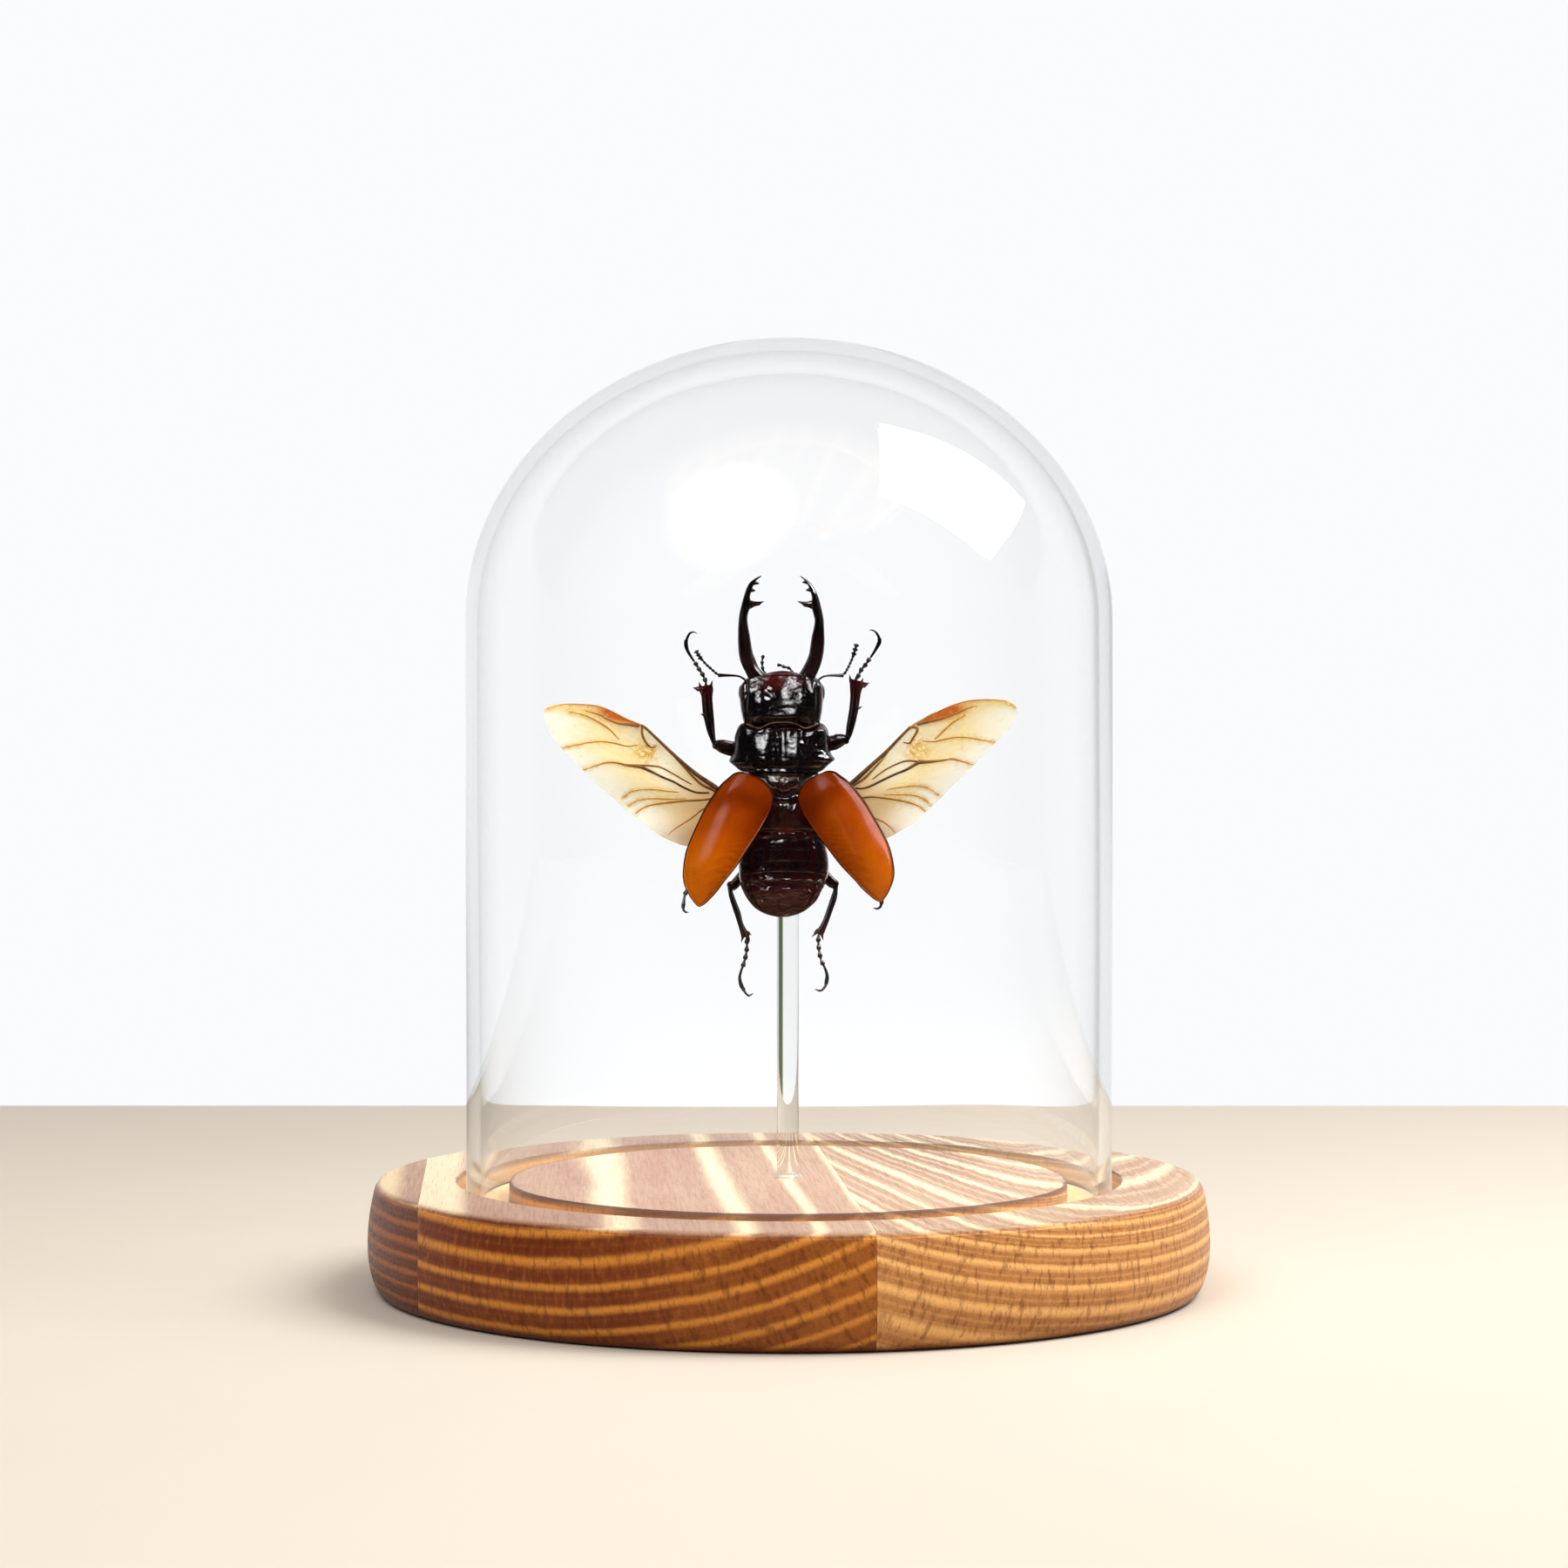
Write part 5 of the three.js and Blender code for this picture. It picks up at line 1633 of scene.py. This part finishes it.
    def film_skin(self, side: Side) -> Skin:
        """The film: rows between the front and rear edges, closed round its thin edge.

        Args:
            side: which wing.
        Returns:
            The skin, with values root, stigma, gold, pale, fan (its angle about the root) and reach.
        """
        a, b = (smooth_path(edge, self.rows) for edge in self.EDGES[side])
        half = self.columns // 2
        share = np.linspace(0, 1, half)
        across = np.concatenate([share, share[::-1]])[None]
        under = np.concatenate([np.zeros(half), np.ones(half)])[None]
        flat = a[:, None] + (b - a)[:, None] * across[..., None]
        x, z = flat[..., 0], flat[..., 1]
        y = self.depth(x, z) + self.thickness * (under - 0.5)
        rings = np.stack([side.value * x, y, z], axis=-1)
        shift = 0.0 if side is Side.LEFT else 0.5
        stigma = bump(z - shift, 8.3 + 0.24 * (x - 22), 1.05) * ramp(x, 20.4, 21.8) * (1 - ramp(x, 25.5, 29.5))
        front_bar = 0.3 * ramp(-across, -0.09, -0.02) * ramp(x, 21, 23) * (1 - ramp(x, 30, 34))
        stigma = np.clip(1.3 * np.maximum(stigma, front_bar), 0, 1)
        gold = np.clip(1.4 * bump(x, 20.5, 1.9) * bump(z - shift, 3.4, 1.7), 0, 1)
        gold = np.maximum(gold, 0.5 * ramp(-across, -0.2, -0.02) * ramp(x, 22, 25) * (1 - ramp(x, 31, 36)))
        for points, (_, _, end) in zip(self.VEIN_LINES[side], self.VEIN_KINDS):
            line = smooth_path(points, 50)
            away = np.hypot(x[..., None] - line[:, 0], z[..., None] - line[:, 1])
            reached = (line[:, 0] - line[:, 0].min()) / np.ptp(line[:, 0])
            halo = np.exp(-((away / 0.42) ** 2)) * (0.25 + 0.75 * reached)
            gold = np.maximum(gold, 1.1 * end * halo.max(axis=-1) * ramp(x, 13, 18))
        rear_half, tip = ramp(across, 0.5, 0.97) * ramp(x, 10, 18), ramp(x, 27, 34.5) * ramp(across, 0.1, 0.45)
        pale = np.maximum(rear_half, tip)
        pale = np.maximum(pale, 0.7 * bump(x, 18.5, 3.5) * (1 - ramp(across, 0.3, 0.5)))
        return Skin.lofted(rings, root=1 - ramp(x + 0.5 * z, 8, 19), stigma=stigma, gold=gold, pale=pale,
                           fan=np.arctan2(z + 6.5, x - 4.0), reach=x / 10)

    def vein_skin(self, side: Side) -> Skin:
        """All veins of one wing as thin rods that lie on the film."""
        rods = []
        for points, (radii, start, end) in zip(self.VEIN_LINES[side], self.VEIN_KINDS):
            line = smooth_path(points, 40)
            path = np.stack([side.value * line[:, 0], self.depth(line[:, 0], line[:, 1]) - 0.04, line[:, 1]], axis=1)
            rod = Skin.tube(path, [1.35 * radius for radius in radii], 60, 9, 0.75, tone=0.0)
            far = np.abs(rod.points[:, 0])
            rod.values["tone"] = start + (end - start) * np.clip((far - far.min()) / max(np.ptp(far), 1e-6), 0, 1)
            rods.append(rod)
        return Skin.joined(rods)

    def build(self) -> None:
        """Builds the film and the veins of both wings."""
        for side in Side:
            self.film_skin(side).piece(f"wing_film_{side.word}", self.film, (f"hindwing_{side.word}",),
                                       "wing_membrane")
            self.vein_skin(side).piece(f"wing_veins_{side.word}", self.vein, slot="wing_membrane")


# ---- beetle: legs


@dataclass(frozen=True)
class Stance:
    """How a pair of legs stands: y at the start and end of thigh, shin and foot, and how red its shins are."""

    thigh: Flat
    shin: Flat
    foot: Flat
    red: float


@dataclass(frozen=True)
class Leg:
    """One leg: the edges of its thigh and shin seen from the back, its spines, and the lines of its foot."""

    name: str
    stance: Stance
    thigh: tuple[list[Flat], list[Flat]]
    shin: tuple[list[Flat], list[Flat]]
    spines: list[tuple[Flat, Flat, float]]
    foot: list[Flat]
    last_joint: list[Flat]
    claw: list[Flat]


@dataclass
class Legs:
    """Six legs with spined shins and feet of four beads, one long joint and two claws."""

    shell: Material

    def legs(self) -> list[Leg]:
        """The six legs."""
        stances = {
            "foreleg": Stance((4.8, 3.0), (2.9, 1.6), (1.5, 0.8), 0.8),
            "midleg": Stance((5.2, 4.4), (4.4, 3.4), (3.3, 1.8), 0.5),
            "hindleg": Stance((5.2, 3.2), (3.2, 2.1), (2.1, 1.6), 0.9),
        }
        return [
            Leg("foreleg_left", stances["foreleg"],
                (trace(-3.2, 4.6, -7.2, 4.95, -8.9, 5.25, -9.9, 5.15, -10.35, 4.75),
                 trace(-3.2, 2.0, -7.6, 2.65, -9.2, 3.15, -10.0, 3.65, -10.45, 4.2)),
                (trace(-10.35, 3.9, -10.81, 5.07, -11.35, 6.41, -11.75, 8.01, -12.02, 9.21, -12.15, 10.68,
                       -12.28, 12.02, -12.68, 12.82, -13.2, 13.3),
                 trace(-9.85, 4.2, -10.02, 5.2, -10.15, 6.41, -10.28, 8.41, -10.45, 10.41, -10.52, 11.75,
                       -10.4, 12.95, -10.55, 13.7)),
                [((-12.6, 12.9), (-13.5, 13.25), 0.35), ((-12.3, 13.2), (-12.6, 14.05), 0.3),
                 ((-10.8, 13.2), (-10.55, 14.35), 0.3), ((-11.9, 9.0), (-12.35, 9.25), 0.2),
                 ((-11.5, 13.4), (-11.6, 14.2), 0.3)],
                trace(-11.45, 13.9, -12.02, 15.22, -12.55, 16.02, -13.2, 17.1),
                trace(-13.3, 17.2, -14.28, 18.82, -14.55, 19.89, -14.5, 20.5),
                trace(-14.5, 20.4, -14.22, 21.09, -13.88, 21.56, -13.35, 21.69, -12.82, 21.45)),
            Leg("foreleg_right", stances["foreleg"],
                (trace(3.2, 5.4, 7.2, 5.8, 8.4, 6.1, 9.5, 6.05, 10.15, 5.6),
                 trace(3.2, 2.8, 7.5, 3.45, 8.7, 3.85, 9.7, 4.5, 10.2, 5.0)),
                (trace(10.05, 4.6, 10.81, 6.14, 11.35, 8.01, 11.75, 9.75, 11.88, 10.68, 12.15, 12.42, 12.55, 13.35,
                       13.05, 13.95),
                 trace(9.6, 5.0, 9.75, 6.2, 9.95, 7.74, 10.28, 9.75, 10.45, 11.75, 10.4, 13.2, 10.4, 14.6)),
                [((12.5, 13.4), (13.4, 14.0), 0.35), ((12.1, 13.8), (12.5, 14.7), 0.3),
                 ((10.6, 14.0), (10.35, 15.2), 0.3), ((11.8, 10.05), (12.3, 10.35), 0.2),
                 ((11.3, 14.1), (11.35, 14.95), 0.3)],
                trace(11.5, 14.5, 12.15, 15.89, 12.82, 16.69, 13.5, 17.7),
                trace(13.6, 17.8, 14.42, 19.09, 14.95, 20.16, 14.95, 20.8),
                trace(14.95, 20.7, 14.75, 21.2, 14.35, 21.75, 13.85, 22.0, 13.4, 22.0)),
            Leg("midleg_left", stances["midleg"],
                (trace(-3.4, -4.2, -8, -6.2, -10.4, -7.4),
                 trace(-3.4, -6.2, -8, -8.1, -10.6, -8.9)),
                (trace(-10.9, -7.9, -12.4, -11, -13.9, -15.1),
                 trace(-10.1, -8.3, -11.6, -11.4, -12.8, -15.2)),
                [((-13.7, -14.8), (-14.3, -15.9), 0.25), ((-13.0, -14.9), (-12.8, -16.0), 0.25),
                 ((-12.4, -11.2), (-13.0, -11.6), 0.2)],
                trace(-13.3, -15.0, -13.9, -16.4, -14.4, -17.5, -14.8, -18.6),
                trace(-14.8, -18.5, -14.95, -19.5, -15.05, -20.5),
                trace(-15.05, -20.4, -14.95, -20.9, -14.6, -21.2, -14.2, -21.2)),
            Leg("midleg_right", stances["midleg"],
                (trace(4, -4.2, 8.6, -6.2, 11, -7.2),
                 trace(4, -6.2, 8.6, -8, 11.2, -8.8)),
                (trace(11.5, -7.8, 13.2, -10.8, 14.9, -14.7),
                 trace(10.7, -8.1, 12.5, -11.2, 13.8, -14.8)),
                [((14.6, -14.4), (15.2, -15.5), 0.25), ((14.0, -14.5), (13.8, -15.6), 0.25),
                 ((13.3, -11.0), (13.9, -11.4), 0.2)],
                trace(14.3, -14.7, 14.8, -16.2, 15.15, -17.4, 15.3, -18.5),
                trace(15.3, -18.4, 15.35, -19.0, 15.2, -19.95),
                trace(15.2, -19.85, 15.05, -20.35, 14.6, -20.65, 13.95, -20.55)),
            Leg("hindleg_left", stances["hindleg"],
                (trace(-2.4, -9.3, -6.7, -15.2, -8.0, -16.75),
                 trace(-2.2, -11.6, -6.2, -17.0, -7.3, -18.0)),
                (trace(-8.25, -17.2, -8.2, -17.9, -8.01, -18.96, -7.48, -20.69, -6.94, -22.29, -6.41, -24.03,
                       -6.1, -25.3),
                 trace(-7.5, -17.4, -7.4, -18.2, -6.94, -19.49, -6.27, -21.23, -5.87, -22.83, -5.25, -24.03,
                       -4.85, -24.7)),
                [((-5.2, -24.2), (-4.6, -24.75), 0.25), ((-5.2, -24.7), (-4.8, -25.7), 0.25),
                 ((-5.9, -24.9), (-6.15, -25.8), 0.25)],
                trace(-5.3, -25.0, -5.3, -26.6, -5.5, -28.0, -5.95, -29.6),
                trace(-5.95, -29.5, -6.3, -30.6, -6.4, -31.4, -6.14, -32.44, -5.7, -33.2),
                trace(-5.75, -33.1, -5.45, -33.6, -5.0, -33.95, -4.35, -33.65)),
            Leg("hindleg_right", stances["hindleg"],
                (trace(2.9, -9.3, 7.0, -14.8, 8.4, -16.4),
                 trace(2.7, -11.6, 6.5, -16.75, 7.85, -17.7)),
                (trace(8.65, -17.0, 8.6, -17.7, 8.41, -19.22, 7.74, -21.09, 7.08, -22.96, 6.54, -24.3, 6.3, -24.9),
                 trace(7.85, -17.2, 7.8, -18.0, 7.34, -19.36, 6.81, -20.96, 6.14, -22.7, 5.5, -23.76, 5.1, -24.4)),
                [((5.5, -23.9), (4.85, -24.45), 0.25), ((5.4, -24.3), (4.55, -25.0), 0.22),
                 ((6.1, -24.6), (6.35, -25.5), 0.25)],
                trace(5.6, -24.7, 5.62, -26.2, 5.87, -27.9, 6.35, -29.3),
                trace(6.35, -29.2, 6.8, -30.3, 6.94, -31.1, 6.78, -32.2),
                trace(6.8, -32.1, 6.6, -32.6, 5.95, -33.2, 5.05, -32.95)),
        ]

    @staticmethod
    def deep(points: list[Flat], depths: Flat) -> Array:
        """A flat line given its y, which runs evenly from one depth to the other.

        Args:
            points: (x, z) points.
            depths: y at its start and end.
        Returns:
            Points (count, 3).
        """
        line = smooth_path(points, 30)
        return np.stack([line[:, 0], np.linspace(*depths, 30), line[:, 1]], axis=1)

    @staticmethod
    def thigh(leg: Leg) -> Skin:
        """The thigh, a little uneven, with its knee."""
        thigh = Skin.blade(*leg.thigh, [0.75, 0.95, 0.95, 0.85, 0.5], list(leg.stance.thigh), 60, 30, 2.1,
                           red=0.15)
        x, z = np.mean([edge[0] for edge in leg.shin], axis=0)
        knee = Skin.egg((x, leg.stance.thigh[1], z + 0.25), (0.5, 0.48, 0.55), 14, 18, red=0.2)
        return Skin.joined([thigh.roughened(0.03, 1.1, 3), knee])

    @staticmethod
    def shin(leg: Leg) -> Skin:
        """The shin with three furrows along it, redder towards its foot, and its spines.

        Args:
            leg: which leg.
        Returns:
            The skin.
        """
        stance = leg.stance
        shin = Skin.blade(*leg.shin, [0.36, 0.42, 0.46, 0.5, 0.55, 0.5], list(stance.shin), 70, 36, 2.1, 0.2)
        x, y, z = sides(shin.points)
        edges = (smooth_path(edge, 60) for edge in leg.shin)
        one, two = (np.interp(z, *edge[np.argsort(edge[:, 1])].T[::-1]) for edge in edges)
        across = np.clip((x - one) / np.where(np.abs(two - one) < 0.05, 0.05, two - one), 0, 1)
        y -= 0.18 * np.cos(across * 6 * math.pi) * bump(across, 0.5, 0.34)
        knee, ankle = leg.shin[0][0][1], leg.shin[0][-1][1]
        share = np.clip(np.abs(z - knee) / abs(ankle - knee), 0, 1)
        shin.values["red"] = stance.red * (0.1 + 0.9 * ramp(share, 0.6, 1.0))
        y = stance.shin[1]
        spines = [Skin.tube([(x0, y, z0), ((x0 + x1) / 2, y - 0.05, (z0 + z1) / 2), (x1, y - 0.1, z1)],
                            [radius, radius * 0.6, 0.03], 12, 10, red=stance.red)
                  for (x0, z0), (x1, z1), radius in leg.spines]
        return Skin.joined([shin.roughened(0.025, 0.9, 5), *spines])

    def foot(self, leg: Leg) -> Skin:
        """The foot: four beads, a long joint, two claws that part to front and rear, and a bristle.

        Args:
            leg: which leg.
        Returns:
            The skin.
        """
        start, end = leg.stance.foot
        middle = start + (end - start) * 0.55
        beads = Skin.beads(self.deep(leg.foot, (start, middle)), 4, 0.33, 0.5, red=0.15)
        last = Skin.tube(self.deep(leg.last_joint, (middle, end)), [0.17, 0.2, 0.25, 0.33, 0.3], 30, 12)
        claws = []
        for way in (-1, 1):
            hook = self.deep(leg.claw, (end, end - 0.1))
            hook[:, 1] += way * 0.42 * np.linspace(0, 1, 30) ** 0.8
            claws.append(Skin.tube(hook, [0.22, 0.2, 0.15, 0.04], 24, 9, red=0.2))
        line = self.deep(leg.claw, (end, end))
        bristle = Skin.tube([line[0], line[0] + (line[6] - line[0]) * 2.2], [0.05, 0.02], 8, 6)
        return Skin.joined([beads, last, *claws, bristle])

    def build(self) -> None:
        """Builds every leg as thigh, shin and foot."""
        for leg in self.legs():
            for word, skin, node in (("thigh", self.thigh(leg), "femur"), ("shin", self.shin(leg), "tibia"),
                                     ("foot", self.foot(leg), "tarsus")):
                skin.piece(f"{leg.name}_{word}", self.shell, (f"{leg.name}_{node}",))


# ---- studio


@dataclass
class Studio:
    """The pale floor, the lights and the camera."""

    lens: float = 89.02
    eye: Point = (0.0, -0.6, 0.091)
    tilt: float = -1.2485
    pan: float = 0.0708
    floor_front: float = -1.6
    floor_back: float = 0.267
    floor_half_width: float = 1.6
    floor_colour: Colour = srgb(216, 205, 190)

    def camera(self) -> None:
        """A long lens at table height, 0.6 m in front of the dome."""
        data = bpy.data.cameras.new("camera")
        data.lens, data.sensor_width = self.lens, 36.0
        data.clip_start, data.clip_end = 0.01, 20.0
        camera = bpy.data.objects.new("camera", data)
        camera.location = self.eye
        camera.rotation_euler = Euler((math.radians(90 + self.tilt), 0, math.radians(self.pan)))
        bpy.context.scene.collection.objects.link(camera)
        bpy.context.scene.camera = camera

    def floor(self) -> None:
        """A pale matt table top that ends a little behind the base; mirrored rays that came through the dome, or that
        reach far to the front, see it nearly black as painted shade.
        """
        mesh = bpy.data.meshes.new("floor")
        front, back, wide = self.floor_front, self.floor_back, self.floor_half_width
        corners = [(-wide, front, 0), (wide, front, 0), (wide, back, 0), (-wide, back, 0)]
        mesh.from_pydata(corners, [], [(0, 1, 2, 3)])
        material, w, shader = new_material("pale_floor")
        cloud = w.noise(w.place(), 6.0, 3.0)
        path = w.node("LightPath").outputs
        far = w.step(w.parts(w.place())[1], -1.5, -0.4, 1.0, 0.0)
        hidden = w.most(w.above(path["Transmission Depth"], 3.5), far)
        # Painted shade: the floor turns nearly black for mirrored rays that came through the dome or reach far to the
        # front.
        mirror_painted_shade = w.times(w.above(path["Glossy Depth"], 0.5), hidden)
        pale = w.mix(cloud, self.floor_colour, srgb(209, 197, 181))
        w.into(shader, Base_Color=w.mix(w.times(mirror_painted_shade, 0.97), pale, (0, 0, 0, 1)), Roughness=0.6,
               Specular_IOR_Level=0.0)
        mesh.materials.append(material)
        floor = bpy.data.objects.new("floor", mesh)
        bpy.context.scene.collection.objects.link(floor)

    def softbox(self, name: str, centre: Point, right: Point, up: Point, size: Flat, watts: float,
                shape: str = "RECTANGLE") -> None:
        """An area light in a given plane, facing the dome; an ellipse is bright in its middle and fades out.

        Args:
            name: its name.
            centre: its middle in millimetres.
            right, up: two directions in its plane.
            size: its width and height in metres.
            watts: its power.
            shape: RECTANGLE or ELLIPSE.
        """
        data = bpy.data.lights.new(name, "AREA")
        data.shape, data.size, data.size_y, data.energy = shape, size[0], size[1], watts
        if shape == "ELLIPSE":
            data.use_nodes = True
            w = Wiring(data.node_tree)
            away = w.vectors("DISTANCE", w.node("NewGeometry").outputs["Parametric"], (0.5, 0.5, 0.0))
            w.into(data.node_tree.nodes["Emission"], Strength=w.step(away.outputs["Value"], 0.05, 0.5, 2.7, 0.1))
        x = Vector(right).normalized()
        z = x.cross(Vector(up)).normalized()
        if z.dot(Vector(centre) - Vector((0, 0, 90))) < 0:
            z = -z
        y = z.cross(x)
        light = bpy.data.objects.new(name, data)
        turn = Matrix((x, y, z)).transposed().to_4x4()
        light.matrix_world = Matrix.Translation(Vector(centre) * MM) @ turn
        bpy.context.scene.collection.objects.link(light)

    def surroundings(self) -> None:
        """A white room behind the dome that darkens to the sides and towards the viewer.

        Bare surfaces get an even soft light. Mirrored and refracted rays see the room by its direction,
        and refracted ones also a dim leafy green band to its right.
        """
        world = bpy.data.worlds.new("studio")
        bpy.context.scene.world = world
        world.use_nodes = True
        w = Wiring(world.node_tree)
        background = world.node_tree.nodes["Background"]
        x, y, z = w.parts(w.node("TexCoord").outputs["Generated"])
        path = w.node("LightPath").outputs
        mirrored, scattered = w.above(path["Glossy Depth"], 0.5), w.above(path["Diffuse Depth"], 0.5)
        bent = w.most(path["Is Transmission Ray"], path["Is Glossy Ray"])
        even = w.step(z, -0.2, 0.8, 0.4, 0.48)
        ahead = w.plus(w.step(y, 0.0, 0.6, 0.003, 0.45), w.step(y, 0.6, 0.92, 0.0, 0.6))
        ahead = w.times(ahead, w.rest(w.times(w.above(path["Glossy Depth"], 1.5), 0.85)))
        outside = w.math("LESS_THAN", path["Transmission Depth"], 0.5)
        ahead = w.most(ahead, w.times(outside, w.step(y, 0.0, 0.4, 0.003, 1.0)))
        dim = w.times(w.step(x, 0.26, 0.4), w.step(x, 0.56, 0.85, 0.86, 0.0))
        dim = w.times(dim, w.step(y, 0.2, 0.5))
        through = w.minus(w.step(w.math("ABSOLUTE", y), 0.5, 0.93, 1.08, 1.13), dim)
        clear = w.plus(w.times(mirrored, ahead), w.times(w.rest(mirrored), through))
        direct = w.times(bent, w.rest(scattered))
        strength = w.plus(w.times(direct, clear), w.times(w.rest(direct), even))
        leafy = w.times(w.times(dim, direct), w.rest(mirrored))
        w.into(background, Color=w.mix(leafy, srgb(252, 253, 255), srgb(150, 180, 92)),
               Strength=w.most(strength, w.times(path["Is Camera Ray"], 0.985)))

    def build(self) -> None:
        """Builds the camera, the floor, the surroundings and the lights."""
        self.camera()
        self.floor()
        self.surroundings()
        self.softbox("window_softbox", (361, -44, 477), (281, 124, -240), (77, -294, -120), (0.39, 0.33), 3.9)
        self.softbox("round_softbox", (-186, -391, 508), (419, -178, 35), (-49, -419, -390), (0.45, 0.55), 1.6,
                     "ELLIPSE")
        settings = bpy.context.scene.view_settings
        settings.view_transform, settings.look = "Standard", "None"


def main() -> None:
    """Builds every piece, dresses it and reports it."""
    logging.basicConfig(level=logging.INFO, format="%(name)s: %(message)s")
    Studio().build()
    WoodenBase().build()
    GlassDome().build()
    SupportRod().build()
    relief = cuticle_relief_group()
    shell, jaw, dull = (finish.material(relief) for finish in (
        CuticleFinish("black_shell", pit_depth=0.1, wrinkles=620.0, wrinkle_depth=0.9, relief=0.00016,
                      roughness=0.07),
        CuticleFinish("jaw_shell", always_red=0.03, pit_depth=0.1, wrinkle_depth=0.2, roughness=0.09),
        CuticleFinish("dull_shell", pits=3800.0, pit_depth=0.6, wrinkle_depth=0.9, relief=0.00012,
                      roughness=0.28, coat=0.4, ior=1.6),
    ))
    bristles = HairFinish().material()
    BeetleHead(shell, jaw, dull, bristles).build()
    BeetleBody(shell, dull, bristles).build()
    WingCases(ElytronFinish().material(relief)).build()
    HindWings(WingFinish().material(), VeinFinish().material()).build()
    Legs(shell).build()
    bpy.context.view_layer.update()


if __name__ == "__main__":
    main()
